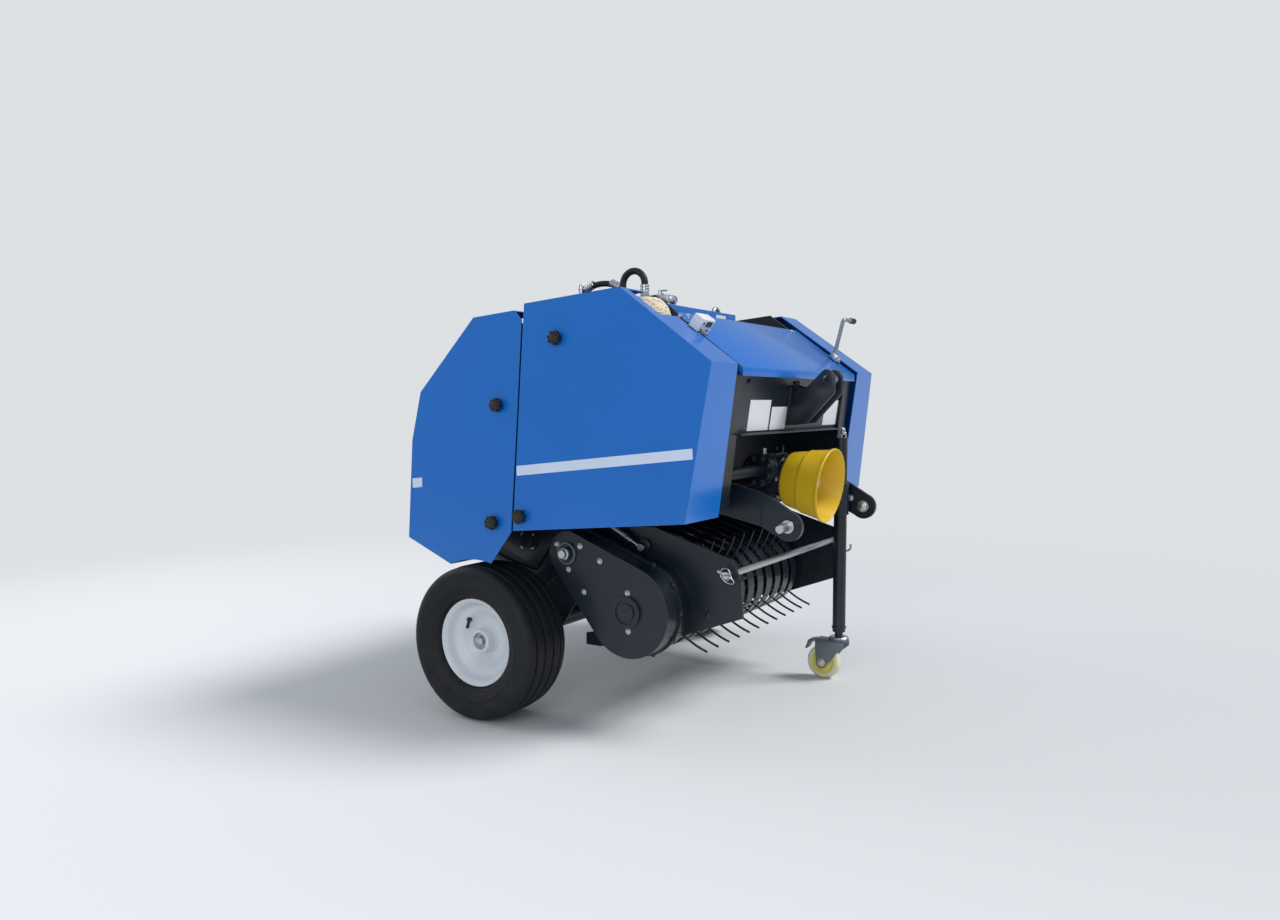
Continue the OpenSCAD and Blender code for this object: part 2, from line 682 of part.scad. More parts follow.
// Hoses over the deck, all in one upright plane: an arch from the deck to the valve and a long bow that joins it
hose_y = -300;
hose_r = 9;
deck_top = deck_z + plate_t;
arch = [298, deck_top + 96];
arch_r = 34;
bow_r = 120;
bow_half = 28;
bow = [arch[0] - arch_r - hose_r - bow_r * sin(bow_half), deck_top - 17];
box_top = deck_top + 34;
valve_z = 26;
module in_plane(c) { translate([c[0], hose_y, c[1]]) rotate([90, 0, 0]) children(); }
module hoses() {
    color("#17191b") {
        in_plane(arch) rotate_extrude(angle = 180) translate([arch_r, 0]) circle(r = hose_r);
        translate([arch[0] - arch_r, hose_y, deck_top]) cylinder(r = hose_r, h = arch[1] - deck_top);
        translate([arch[0] + arch_r, hose_y, box_top + valve_z]) cylinder(r = hose_r, h = arch[1] - box_top - valve_z);
        in_plane(bow) rotate([0, 0, 90 - bow_half]) rotate_extrude(angle = 2 * bow_half) translate([bow_r, 0])
            circle(r = hose_r - 1);
    }
}
module hose_valve() {
    post_x = bow[0] - (bow_r + hose_r - 1) * sin(bow_half) - 11 - seat;
    color(bright) {
        translate([312, hose_y - 22, box_top]) cube([104, 44, valve_z]);
        translate([416, hose_y, box_top + 13]) rotate([0, 90, 0]) cylinder(r = 9, h = 12);
        translate([380, hose_y, box_top + valve_z]) cylinder(r = 10, h = 16);
        translate([post_x, hose_y, deck_top]) cylinder(r = 11, h = 105);
    }
}
// Chain that hangs from the far wall: links turned by a quarter from one to the next, then a hook
link_pitch = 25;
link_wire = 5;
chain_top = [640, wall_out + 12, 722];
link_gap = 0.2;
module link() {
    straight = link_pitch + link_wire + link_gap - 14;
    for (s = [-1, 1]) {
        translate([0, 0, s * straight / 2]) rotate([90, s < 0 ? 180 : 0, 0]) rotate_extrude(angle = 180)
            translate([7, 0]) circle(d = link_wire, $fn = 16);
        translate([s * 7, 0, -straight / 2]) cylinder(d = link_wire, h = straight, $fn = 16);
    }
}
module parking_chain() {
    ring_z = link_pitch / 2 + 9 - 3 - link_gap / 2;
    pin_from = flange_x(chain_top[2] + ring_z + 13) + seat - chain_top[0];
    color(bright) {
        for (i = [0:11]) translate(chain_top - [0, 0, i * link_pitch]) rotate([0, 0, i * 90]) link();
        translate(chain_top + [0, 0, ring_z]) {
            rotate([0, 90, 0]) rotate_extrude() translate([9, 0]) circle(r = 3, $fn = 16);
            translate([pin_from, 0, 9]) rotate([0, 90, 0]) cylinder(r = 4, h = -2 - pin_from);
        }
        translate(chain_top - [0, 0, 11 * link_pitch + ring_z]) {
            rotate([90, 0, 0]) rotate_extrude() translate([9, 0]) circle(r = 3, $fn = 16);
            translate([0, 0, -44]) cylinder(r = 3.5, h = 36, $fn = 16);
            translate([14, 0, -44]) rotate([90, 180, 0]) rotate_extrude(angle = 215) translate([14, 0]) circle(r = 3.5, $fn = 16);
        }
    }
}
module lifting_eye() {
    color(bright) translate([340, 90, deck_z + plate_t]) {
        translate([0, -20, 0]) cylinder(r = 7, h = 42);
        translate([0, 20, 0]) cylinder(r = 7, h = 42);
        translate([0, 0, 40]) rotate([90, 0, 90]) rotate_extrude(angle = 180) translate([20, 0]) circle(r = 6);
    }
}
module knob(p, from) {
    y = cover_y + (brow_z - p[1]) * tan(cover_lean);
    translate([p[0], y, p[1]]) rotate([-90 + cover_lean, 0, 0]) {
        cylinder(d = 36, h = 5);
        cylinder(d = 36, h = 19, $fn = 6);
        cylinder(d = 24, h = 21);
    }
    rod_y(p[0], p[1], post_r, from, y + 4);
}
module cover_knobs() { color("#17191b") both() for (p = knob_places) knob(p, wall_out); }
module gate_knobs() { color("#17191b") both() for (p = gate_knob_places) knob(p, gate_out); }

// Parking leg with its castor
castor_top = 132;
module leg_sleeve() {
    color(dark) difference() {
        union() {
            translate([leg_x, leg_y, 500]) cylinder(d = leg_d + 10, h = 90);
            translate([leg_x - 12, leg_y, 505]) cube([24, hitch_y - hitch_t / 2 - leg_y, 80]);
        }
        translate([leg_x, leg_y, 490]) cylinder(d = leg_d + 2 * run, h = 120);
    }
    color(bright) rod_y(leg_x, 545, 7, leg_y - leg_d / 2 - 24, leg_y - leg_d / 2 - 2);
}
module parking_leg() {
    color(dark) {
        translate([leg_x, leg_y, 146]) cylinder(d = leg_d, h = leg_top - 146);
        translate([leg_x, leg_y, castor_top]) cylinder(d = 24, h = 15);
    }
}
// Fork: raceway under the stem, crown, two cheeks with round ends and the brake's pedal behind
module castor_fork() {
    r = castor_d / 2;
    w = castor_w / 2 + 5;
    axle_x = leg_x - castor_trail;
    crown_z = castor_d + 10;
    color("#7c8388") {
        translate([leg_x, leg_y, castor_top - 12]) cylinder(r = 30, h = 6);
        translate([leg_x, leg_y, castor_top - 7]) cylinder(r = 26, h = 7 - seat);
        translate([axle_x - 22, leg_y - w - 4, crown_z]) cube([castor_trail + 48, 2 * w + 8, 11]);
        for (s = [-1, 1]) translate([0, leg_y + s * (w + 2), 0]) difference() {
            union() {
                slab([[axle_x - 12, r - 6], [axle_x + 12, r - 6], [leg_x + 26, crown_z - 2], [leg_x + 26, crown_z + 4],
                    [axle_x - 22, crown_z + 4]], -2, 2);
                rod_y(axle_x, r, 13, -2, 2);
            }
            rod_y(axle_x, r, 6 + run, -3, 3);
        }
        slab([[axle_x - 22, crown_z + 2], [axle_x - 40, crown_z - 6], [axle_x - 52, crown_z - 26],
            [axle_x - 56, crown_z - 25], [axle_x - 44, crown_z + 4], [axle_x - 22, crown_z + 11]],
            leg_y - 16, leg_y + 16);
    }
}
module castor_wheel() {
    color("#e6dca0") translate([leg_x - castor_trail, leg_y, castor_d / 2]) rotate([90, 0, 0]) {
        rotate_extrude() polygon([[0, -castor_w / 2 - 10], [6, -castor_w / 2 - 10], [6, -castor_w / 2], [40, -castor_w / 2 + 2],
            [castor_d / 2 - 2, -castor_w / 2 + 5], [castor_d / 2, -castor_w / 2 + 9],
            [castor_d / 2, castor_w / 2 - 9], [castor_d / 2 - 2, castor_w / 2 - 5], [40, castor_w / 2 - 2],
            [6, castor_w / 2], [6, castor_w / 2 + 10], [0, castor_w / 2 + 10]]);
    }
}

place() side_walls();
place() chamber_front();
place() front_beams();
place() axle();
place() front_cover_right();
place() front_cover_left();
place() hood();
place() twine_box();
place() front_panel();
place() mast();
place() hitch_plates();
place() hitch_pins();
place() gearbox();
place() pto_guard();
place() pto_shaft();
place() pickup_sides();
place() guard_bands();
place() windguard_bar();
place() pickup_reel();
place() chain_case();
place() tension_springs();
place() twine_ball();
place() counter_box();
place() crank_lever();
place() hoses();
place() hose_valve();
place() lifting_eye();
place() parking_chain();
place() cover_knobs();
place() leg_sleeve();
place() parking_leg();
place() castor_fork();
place() castor_wheel();
place() tyre_right();
place() rim_right();
place() tyre_left();
place() rim_left();
place() front_roller_1();
place() front_roller_2();
place() front_roller_3();
place() front_roller_4();
place() gate_roller_1();
place() gate_roller_2();
place() gate_roller_3();
place() gate_roller_4();
place() gate_roller_5();
place() gate_walls();
place() gate_beams();
place() gate_cover_right();
place() gate_cover_left();
place() rear_cover();
place() gate_knobs();
place() barrel_right();
place() rod_right();
place() barrel_left();
place() rod_left();
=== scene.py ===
"""Looks of a small round baler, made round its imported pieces.

Lengths in this file are millimetres, with X counted forward from the wheel axle as in the part's source;
at() turns such a place into the frame's metres.
"""
import json
import random
from math import atan2, cos, degrees, hypot, pi, radians, sin, sqrt

import bpy
from mathutils import Matrix, Vector
from mathutils.bvhtree import BVHTree


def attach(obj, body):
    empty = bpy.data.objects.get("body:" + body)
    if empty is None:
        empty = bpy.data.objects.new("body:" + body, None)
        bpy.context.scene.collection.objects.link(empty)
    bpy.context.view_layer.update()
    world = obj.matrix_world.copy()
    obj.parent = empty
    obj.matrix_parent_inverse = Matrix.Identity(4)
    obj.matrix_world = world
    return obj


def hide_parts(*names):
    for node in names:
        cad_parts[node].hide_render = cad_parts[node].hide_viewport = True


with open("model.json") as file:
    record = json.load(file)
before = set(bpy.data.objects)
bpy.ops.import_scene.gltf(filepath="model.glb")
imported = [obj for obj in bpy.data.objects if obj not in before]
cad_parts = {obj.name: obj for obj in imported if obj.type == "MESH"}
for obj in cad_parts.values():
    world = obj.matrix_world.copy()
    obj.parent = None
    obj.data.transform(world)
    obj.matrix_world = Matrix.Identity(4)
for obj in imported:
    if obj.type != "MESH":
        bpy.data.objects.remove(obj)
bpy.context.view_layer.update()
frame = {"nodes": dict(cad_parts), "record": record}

# Driving sizes of the pieces that are dressed here. A pair is a place in X and Z, but the leg's is in X and Y
MID_X = 260.5
WALL_IN = 350
WALL_OUT = 356
GATE_OUT = 357
SIDE_PLATE = 362
TYRE_R = 203
TRACK = 550
VALVE_ANGLE = 140
REEL = (388, 304)
BAR_RING = 78
TINE_PITCH = 62
TINES = 12
TINE_BARS = 4
REEL_TURN = 49
CASE_FACE = 474
CASE_SEAM = 410
CASE_TOP = (203, 438)
DECK_TOP = 1048
HOOD_TOP = (467, 1058)
HOOD_LIP = (661, 916)
HOOD_SLOPE = atan2(HOOD_TOP[1] - HOOD_LIP[1], HOOD_LIP[0] - HOOD_TOP[0])
KNOBS = [(227, 989), (142, 541)]
GATE_KNOBS = [(49, 822), (53, 520)]
BAR = (618, 405)
HITCH = (738, 523)
HITCH_IN = 271
HITCH_OUT = 283
MAST_HOLE = (735, 893)
MAST_IN = 25
MAST_OUT = 33
GEAR = (566, 645)
STUB = (600, 621)
STUB_TILT = radians(7)
LEG = (678, 245)
CASTOR_AXLE = (633, 50)
CHAMBER = (100, 705)
RING_R = 290
SIDES = {"right": -1, "left": 1}
UP = (0, 0, 1)
AHEAD = (1, 0, 0)
LEFT = (0, 1, 0)
RIGHT = (0, -1, 0)


def at(x, y, z):
    return Vector(((x - MID_X) / 1000, y / 1000, z / 1000))


# Modelling


def start():
    """Leaves edit mode and deselects all."""
    if bpy.context.mode != "OBJECT":
        bpy.ops.object.mode_set(mode="OBJECT")
    bpy.ops.object.select_all(action="DESELECT")


def take(piece):
    """Makes this piece the only one selected."""
    start()
    piece.select_set(True)
    bpy.context.view_layer.objects.active = piece


def close_up(merge=None):
    """Merges points nearer than this many metres, turns all normals outwards and leaves edit mode."""
    bpy.ops.mesh.select_all(action="SELECT")
    if merge:
        bpy.ops.mesh.remove_doubles(threshold=merge)
    bpy.ops.mesh.normals_make_consistent(inside=False)
    bpy.ops.object.mode_set(mode="OBJECT")


def bake_place(piece):
    take(piece)
    bpy.ops.object.transform_apply(location=True, rotation=True, scale=True)
    return piece


def standing(place, toward, turn=0.0):
    """The matrix that brings a place's Z toward a direction."""
    spin = Vector(toward).to_track_quat("Z", "Y").to_matrix().to_4x4() @ Matrix.Rotation(turn, 4, "Z")
    return Matrix.Translation(place) @ spin


def stand(piece, place, toward):
    """Puts a piece modelled round its own Z axis at a place, with Z toward a direction."""
    piece.matrix_world = standing(place, toward)
    return bake_place(piece)


def lay(piece, place, across, out):
    """Puts a piece modelled on its own XY plane at a place, with X along across and Z along out."""
    out = Vector(out).normalized()
    across = Vector(across)
    across = (across - out * across.dot(out)).normalized()
    turn = Matrix((across, out.cross(across), out)).transposed().to_4x4()
    piece.matrix_world = Matrix.Translation(place) @ turn
    return bake_place(piece)


def upright(piece, y):
    """Turns a plate drawn in X and Z onto its place along Y, with its own bottom face at y."""
    return lay(piece, at(0, y, 0), (1, 0, 0), (0, -1, 0))


def uprights(sheet, *levels):
    """Copies of a plate put upright at these places along Y; the plate itself is used up."""
    sides = [upright(copied(sheet, sheet.name), y) for y in levels]
    drop(sheet)
    return sides


def finish_with(piece, kind, **settings):
    """Adds a modifier and applies it."""
    take(piece)
    modifier = piece.modifiers.new(kind.title(), kind)
    for key, value in settings.items():
        setattr(modifier, key, value)
    bpy.ops.object.modifier_apply(modifier=modifier.name)
    return piece


def drop(*pieces):
    for piece in pieces:
        bpy.data.objects.remove(piece)


def cut(piece, cutter):
    """Takes a cutter out of a piece."""
    finish_with(piece, "BOOLEAN", object=cutter, operation="DIFFERENCE", solver="EXACT")
    drop(cutter)
    return piece


def soften(piece, width, segments=2, limit=35):
    """Rounds the edges of a piece, width in mm, and shades it smooth."""
    finish_with(piece, "BEVEL", width=width / 1000, segments=segments, limit_method="ANGLE",
                angle_limit=radians(limit), harden_normals=False)
    return smooth(piece)


def smooth(piece, angle=30):
    take(piece)
    bpy.ops.object.shade_smooth_by_angle(angle=radians(angle))
    return piece


def named(name):
    piece = bpy.context.active_object
    piece.name = name
    piece.data.name = name
    return piece


def block(name, size, centre=(0, 0, 0), edge=1.0, segments=2):
    """A block with rounded edges, sizes in mm round its own origin."""
    start()
    bpy.ops.mesh.primitive_cube_add(size=1, location=[c / 1000 for c in centre])
    piece = named(name)
    piece.scale = [s / 1000 for s in size]
    bake_place(piece)
    return soften(piece, edge, segments) if edge else piece


def drum(name, radius, height, sides=32, edge=0.8, low=0.0):
    """A round or many-sided bar on Z from low upwards, in mm."""
    start()
    bpy.ops.mesh.primitive_cylinder_add(vertices=sides, radius=radius / 1000, depth=height / 1000,
                                        location=(0, 0, (low + height / 2) / 1000))
    piece = bake_place(named(name))
    return soften(piece, edge) if edge else smooth(piece)


def drawn(name, points, closed):
    """Draws a line of edges point by point, in mm, and leaves it in edit mode."""
    start()
    bpy.ops.mesh.primitive_plane_add(size=0.001)
    piece = named(name)
    take(piece)
    bpy.ops.object.mode_set(mode="EDIT")
    bpy.ops.mesh.select_mode(type="VERT")
    bpy.ops.mesh.select_all(action="SELECT")
    bpy.ops.mesh.merge(type="CENTER")
    points = [Vector(point) / 1000 for point in points]
    bpy.ops.transform.translate(value=points[0])
    for here, there in zip(points, points[1:] + points[:1] if closed else points[1:]):
        bpy.ops.mesh.extrude_region_move(TRANSFORM_OT_translate={"value": there - here})
    bpy.ops.mesh.select_all(action="SELECT")
    bpy.ops.mesh.remove_doubles(threshold=1e-6)
    return piece


def turned(name, profile, steps=48):
    """A turned piece on Z. profile is (radius, height) in mm, drawn point by point and spun; it is closed
    to a ring unless it starts and ends on the axis."""
    piece = drawn(name, [(r, 0, z) for r, z in profile], profile[0][0] > 0 or profile[-1][0] > 0)
    bpy.ops.mesh.spin(steps=steps, angle=2 * pi, center=(0, 0, 0), axis=(0, 0, 1))
    close_up(1e-5)
    return smooth(piece)


def plate(name, outline, thick, edge=0.8):
    """A plate cut to an outline in its own XY plane and raised along Z, in mm."""
    piece = drawn(name, [(x, y, 0) for x, y in outline], True)
    bpy.ops.mesh.edge_face_add()
    bpy.ops.mesh.extrude_region_move(TRANSFORM_OT_translate={"value": (0, 0, thick / 1000)})
    close_up()
    return soften(piece, edge)


def on_circle(centre, radius, angle):
    """A point of a circle, angle in degrees."""
    return centre[0] + radius * cos(radians(angle)), centre[1] + radius * sin(radians(angle))


def arc(centre, radius, first, last, count=8):
    """Points of an arc, angles in degrees."""
    return [on_circle(centre, radius, first + (last - first) * i / count) for i in range(count + 1)]


def round_about(centre, radius, angle, y):
    """The place in the machine on a circle drawn in X and Z, angle in degrees."""
    x, z = on_circle(centre, radius, angle)
    return at(x, y, z)


def turns(count):
    """Angles that share out a full turn."""
    return [2 * pi * index / count for index in range(count)]


def there_and_back(half):
    """A profile that is the same on both sides of its middle."""
    return half + [(r, -z) for r, z in reversed(half)]


def tube(name, points, radius, sides=8, loop=False, resolution=8, swell=None):
    """A bent bar, wire or hose through points given in the frame's metres, radius in mm. swell scales the
    radius at every other point."""
    start()
    bpy.ops.curve.primitive_nurbs_path_add()
    piece = bpy.context.active_object
    piece.name = name
    curve = piece.data
    curve.splines.clear()
    line = curve.splines.new("BEZIER")
    line.bezier_points.add(len(points) - 1)
    for index, (knot, point) in enumerate(zip(line.bezier_points, points)):
        knot.co = point
        knot.handle_left_type = knot.handle_right_type = "AUTO"
        if swell and index % 2:
            knot.radius = swell
    line.use_cyclic_u = loop
    line.resolution_u = resolution
    curve.bevel_depth = radius / 1000
    curve.bevel_resolution = max(1, sides // 2 - 1)
    curve.use_fill_caps = not loop
    take(piece)
    bpy.ops.object.convert(target="MESH")
    piece = named(name)
    take(piece)
    bpy.ops.object.mode_set(mode="EDIT")
    close_up(1e-6)
    bake_place(piece)
    return smooth(piece, 50)


def coil(name, first, last, radius, wire, turns):
    """A spring wound between two places in the frame's metres; radius to the wire's middle, in mm."""
    axis = last - first
    side = axis.orthogonal().normalized()
    other = axis.normalized().cross(side)
    count = round(turns * 12)
    points = []
    for i in range(count + 1):
        angle = 2 * pi * i / 12
        points.append(first + axis * i / count + (side * cos(angle) + other * sin(angle)) * radius / 1000)
    return tube(name, points, wire / 2, sides=6, resolution=2)


def weld(name, first, last, radius=2.2):
    """A weld bead along a fillet: ripples about 3 mm apart."""
    count = max(2, round((last - first).length / 0.0030))
    return tube(name, [first.lerp(last, i / count) for i in range(count + 1)], radius, sides=6, resolution=2,
                swell=0.8)


def copied(piece, name):
    twin = piece.copy()
    twin.data = piece.data.copy()
    twin.name = twin.data.name = name
    bpy.context.collection.objects.link(twin)
    return twin


def joined(name, pieces):
    take(pieces[0])
    for piece in pieces[1:]:
        piece.select_set(True)
    if len(pieces) > 1:
        bpy.ops.object.join()
    return named(name)


def scattered(name, pattern, spots):
    """Copies of a pattern that stands on its own Z, at each (place, toward, turn), joined in one piece."""
    twins = []
    for index, (place, toward, turn) in enumerate(spots):
        twin = copied(pattern, f"{name}_{index}")
        twin.matrix_world = standing(place, toward, turn)
        twins.append(twin)
    bpy.context.view_layer.update()
    return bake_place(joined(name, twins))


# In metres: how far off a line starts that looks for a face, and how deep a fastener sits in it
LOOK_FROM = 0.4
SUNK = 0.0002

skins = {}


def seat(node, place, toward):
    """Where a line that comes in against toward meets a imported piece, and which way its face looks."""
    if node not in skins:
        mesh = frame["nodes"][node].data
        skins[node] = BVHTree.FromPolygons([v.co for v in mesh.vertices], [p.vertices for p in mesh.polygons])
    toward = Vector(toward).normalized()
    spot, normal, _, _ = skins[node].ray_cast(place + toward * LOOK_FROM, -toward)
    if spot is None:
        raise ValueError(f"nothing of {node} at {place}")
    return spot, normal


# Materials


def linear(code):
    """Linear colour of an sRGB hex value."""
    parts = [int(code[i:i + 2], 16) / 255 for i in (1, 3, 5)]
    return [c / 12.92 if c <= 0.04045 else ((c + 0.055) / 1.055) ** 2.4 for c in parts] + [1.0]


def add(tree, kind, settings=None, links=None):
    """Adds one shader node and hands back its outputs: settings are its properties or unlinked inputs, links
    what feeds its inputs."""
    node = tree.nodes.new("ShaderNode" + kind)
    for key, value in (settings or {}).items():
        if isinstance(key, str) and hasattr(node, key):
            setattr(node, key, value)
        else:
            node.inputs[key].default_value = value
    for key, source in (links or {}).items():
        tree.links.new(source, node.inputs[key])
    return node.outputs


def fresh(name):
    """A new material, its emptied tree and the piece's own coordinates."""
    mat = bpy.data.materials.new(name)
    mat.use_nodes = True
    mat.node_tree.nodes.clear()
    return mat, mat.node_tree, add(mat.node_tree, "TexCoord")["Object"]


def with_surface(mat, surface):
    add(mat.node_tree, "OutputMaterial", {}, {"Surface": surface})
    return mat


def noise(tree, where, **settings):
    return add(tree, "TexNoise", settings, {"Vector": where})["Fac"]


def ranged(tree, value, low, high, to_low=0.0, to_high=1.0, how="LINEAR"):
    """A value stretched from one range to another."""
    ends = {"interpolation_type": how, "From Min": low, "From Max": high, "To Min": to_low, "To Max": to_high}
    return add(tree, "MapRange", ends, {"Value": value})["Result"]


def blend(tree, part, first, second):
    """Two colours mixed by a part from 0 to 1; each is a hex value or a node's output."""
    settings, links = {"data_type": "RGBA"}, {0: part}
    for socket, colour in ((6, first), (7, second)):
        if isinstance(colour, str):
            settings[socket] = linear(colour)
        else:
            links[socket] = colour
    return add(tree, "Mix", settings, links)[2]


def finish_of(name, colour, rough=0.5, metal=0.0, specular=0.5, coat=0.0, vary=(0.06, 60), rub=0.05,
              grain=(0.6, 0.05), dust=None, edge_highlight_and_wear=0.0, edge=0.8):
    """A surface finish. vary is how far the colour drifts and over how many mm, rub how far the roughness;
    grain is the pitch and height in mm of the surface's own texture; dust is how much of it settles, up to
    what height and in patches of what size, in mm; the last but one argument lightens the edges as a
    painted highlight along the folds, and on the rollers also as scuffs; the edges are rounded by edge mm."""
    mat, tree, where = fresh(name)
    cloud = noise(tree, where, Scale=1000 / vary[1], Detail=3.0, Roughness=0.6)
    drift = ranged(tree, cloud, 0.3, 0.7, 1 - vary[0], 1 + vary[0])
    shade = add(tree, "HueSaturation", {"Color": linear(colour)}, {"Value": drift})["Color"]
    rounded = add(tree, "Bevel", {"samples": 4, "Radius": edge / 1000})["Normal"]
    # Painted highlight: edges, where the rounded normal turns away from the flat one, are lightened toward
    # pale grey; on the rollers this also stands for scuffs
    if edge_highlight_and_wear:
        flat = add(tree, "NewGeometry")["Normal"]
        bend = add(tree, "VectorMath", {"operation": "DOT_PRODUCT"}, {0: rounded, 1: flat})["Value"]
        shade = blend(tree, ranged(tree, bend, 0.99, 0.8, 0.0, edge_highlight_and_wear), shade, "#c8ccd0")
    roughness = ranged(tree, cloud, 0.2, 0.8, rough - rub, rough + rub)
    if dust:
        height = add(tree, "SeparateXYZ", {}, {"Vector": where})["Z"]
        much, top, size = dust
        low = ranged(tree, height, 0.0, top / 1000, much, 0.0)
        patch = ranged(tree, noise(tree, where, Scale=1000 / size, Detail=6.0, Roughness=0.75), 0.38, 0.72)
        amount = add(tree, "Math", {"operation": "MULTIPLY"}, {0: low, 1: patch})["Value"]
        shade = blend(tree, amount, shade, "#8E877C")
    skin = noise(tree, where, Scale=1000 / grain[0], Detail=2.0)
    bump = add(tree, "Bump", {"Strength": 1.0, "Distance": grain[1] / 1000},
               {"Height": skin, "Normal": rounded})
    shader = add(tree, "BsdfPrincipled", {"Metallic": metal, "Specular IOR Level": specular,
                                          "Coat Weight": coat, "Coat Roughness": 0.12},
                 {"Base Color": shade, "Roughness": roughness, "Normal": bump["Normal"]})
    return with_surface(mat, shader["BSDF"])


# Gloss powder coat on steel sheet: a faint orange peel a few millimetres across, and a painted highlight
# along the folds
BLUE = finish_of("gloss_blue_powder_coat", "#0767BE", rough=0.26, coat=0.25, vary=(0.02, 320), rub=0.015,
                 grain=(2.6, 0.012), dust=(0.06, 420, 40), edge_highlight_and_wear=0.10, edge=1.6)
# Satin powder coat on thick plate, almost black with a green-blue cast; a painted highlight along its edges
DARK = finish_of("satin_dark_powder_coat", "#101B26", rough=0.34, specular=0.4, coat=0.1, vary=(0.06, 160),
                 rub=0.03, grain=(2.4, 0.02), dust=(0.10, 420, 40), edge_highlight_and_wear=0.12, edge=1.4)
# Bright zinc plate on turned and bent steel: silver with a faint yellow and blue bloom
ZINC = finish_of("bright_zinc_plate", "#BFC4C7", rough=0.32, metal=1.0, vary=(0.05, 25), rub=0.03,
                 grain=(2.0, 0.004), edge=0.5)
# Dull zinc on a pressed castor fork
DULL_ZINC = finish_of("dull_zinc_plate", "#6F777E", rough=0.44, metal=0.9, vary=(0.08, 22), rub=0.04,
                      grain=(2.0, 0.008), dust=(0.12, 160, 40))
# Hard chrome on a cylinder's rod
CHROME = finish_of("hard_chrome", "#D8DADB", rough=0.12, metal=1.0, vary=(0.03, 60), grain=(0.6, 0.0),
                   edge=0.5)
# Painted roller tube, lighter along its ribs: a painted highlight there, and a little scuffing
ROLLER = finish_of("roller_paint", "#262E34", rough=0.46, vary=(0.12, 50), grain=(1.6, 0.05), edge_highlight_and_wear=0.3)
# Blackened spring steel: dark, slightly oily
SPRING_STEEL = finish_of("black_spring_steel", "#15181A", rough=0.34, vary=(0.2, 30), dust=(0.2, 220, 40))
# Moulded polyethylene guard: waxy, even, with a faint flow texture
YELLOW = finish_of("yellow_polyethylene", "#D9B41C", rough=0.40, vary=(0.04, 70), grain=(1.5, 0.02), edge=1.0)
# Moulded ABS of the counter
WHITE_ABS = finish_of("white_abs", "#DDE0E2", rough=0.4, vary=(0.02, 60), grain=(0.8, 0.02))
# Glass-filled nylon knobs
BLACK_NYLON = finish_of("black_nylon", "#141618", rough=0.42, vary=(0.12, 20), grain=(0.7, 0.04))
# Hot-dip galvanised rod: matt grey
GALVANISED = finish_of("galvanised_rod", "#8E979F", rough=0.5, metal=0.8, vary=(0.08, 18), grain=(2.0, 0.01))
# Rubber hose cover, slightly grey from its talc
HOSE = finish_of("hose_rubber", "#191B1D", rough=0.55, specular=0.35, vary=(0.15, 25), grain=(1.0, 0.05))
# Tyre rubber: matt blue-black, with a little grey dust low down
TYRE = finish_of("tyre_rubber", "#101419", rough=0.58, specular=0.3, vary=(0.08, 90), grain=(1.6, 0.03),
                 dust=(0.07, 400, 45))
# White enamel on the pressed rim
WHITE_RIM = finish_of("white_enamel", "#D5DAE0", rough=0.34, coat=0.2, vary=(0.04, 90), grain=(3.0, 0.04),
                      dust=(0.10, 420, 50))
# Cast nylon of the castor's tread
CREAM = finish_of("cream_nylon", "#D8D4B4", rough=0.42, vary=(0.05, 20), grain=(1.0, 0.02),
                  dust=(0.2, 140, 16))
# Yellower nylon of the castor's centre
YELLOW_CORE = finish_of("yellow_castor_core", "#CFC45A", rough=0.45, vary=(0.05, 20), grain=(0.6, 0.01))
# Vinyl film of the stripe: smooth, a little blue
VINYL = finish_of("white_vinyl", "#C9D6EA", rough=0.35, vary=(0.02, 60), grain=(0.6, 0.0))
# Paper labels under a clear film
PAPER = finish_of("label_film", "#D9DCE0", rough=0.4, vary=(0.03, 30), grain=(0.6, 0.0))
# Grey glass of the counter's display
GLASS = finish_of("dark_display", "#39433F", rough=0.12, vary=(0.02, 60), grain=(0.6, 0.0))


def twine_finish():
    """Sisal twine wound in a ball: pale straw strands about 3 mm thick with loose fibres."""
    mat, tree, where = fresh("sisal_twine")
    strands = noise(tree, where, Scale=260.0, Detail=4.0, Roughness=0.7)
    fibres = noise(tree, where, Scale=1100.0, Detail=4.0)
    tone = blend(tree, ranged(tree, strands, 0.35, 0.65), "#C4B594", "#EFE8D6")
    low = add(tree, "Bump", {"Strength": 1.0, "Distance": 0.0006}, {"Height": strands})["Normal"]
    fine = add(tree, "Bump", {"Strength": 0.6, "Distance": 0.0003}, {"Height": fibres, "Normal": low})
    shader = add(tree, "BsdfPrincipled", {"Roughness": 0.9, "Sheen Weight": 0.3},
                 {"Base Color": tone, "Normal": fine["Normal"]})
    return with_surface(mat, shader["BSDF"])


TWINE = twine_finish()

FINISHES = {"blue_paint": BLUE, "dark_paint": DARK, "zinc_steel": ZINC, "chromed_rod": CHROME,
            "roller_steel": ROLLER, "black_spring_steel": SPRING_STEEL, "yellow_plastic": YELLOW,
            "twine": TWINE, "white_plastic": WHITE_ABS, "hose_rubber": HOSE, "black_plastic": BLACK_NYLON,
            "castor_plastic": CREAM, "tyre_rubber": TYRE, "white_paint": WHITE_RIM}

NODE_SLOT = {p["node"]: p["material_slot"] for p in frame["record"]["subparts"]}


def dress(piece, mat):
    piece.data.materials.clear()
    piece.data.materials.append(mat)
    return piece


def belongs(piece, body="frame", mat=ZINC, instead_of=()):
    """Finishes a new piece: its material, the body it rides on and the nodes it stands for."""
    dress(piece, mat)
    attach(piece, body)
    if instead_of:
        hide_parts(*instead_of)
    return piece


for node_name, node_object in frame["nodes"].items():
    dress(node_object, FINISHES[NODE_SLOT[node_name]])


# Fasteners, modelled once and copied to their seats

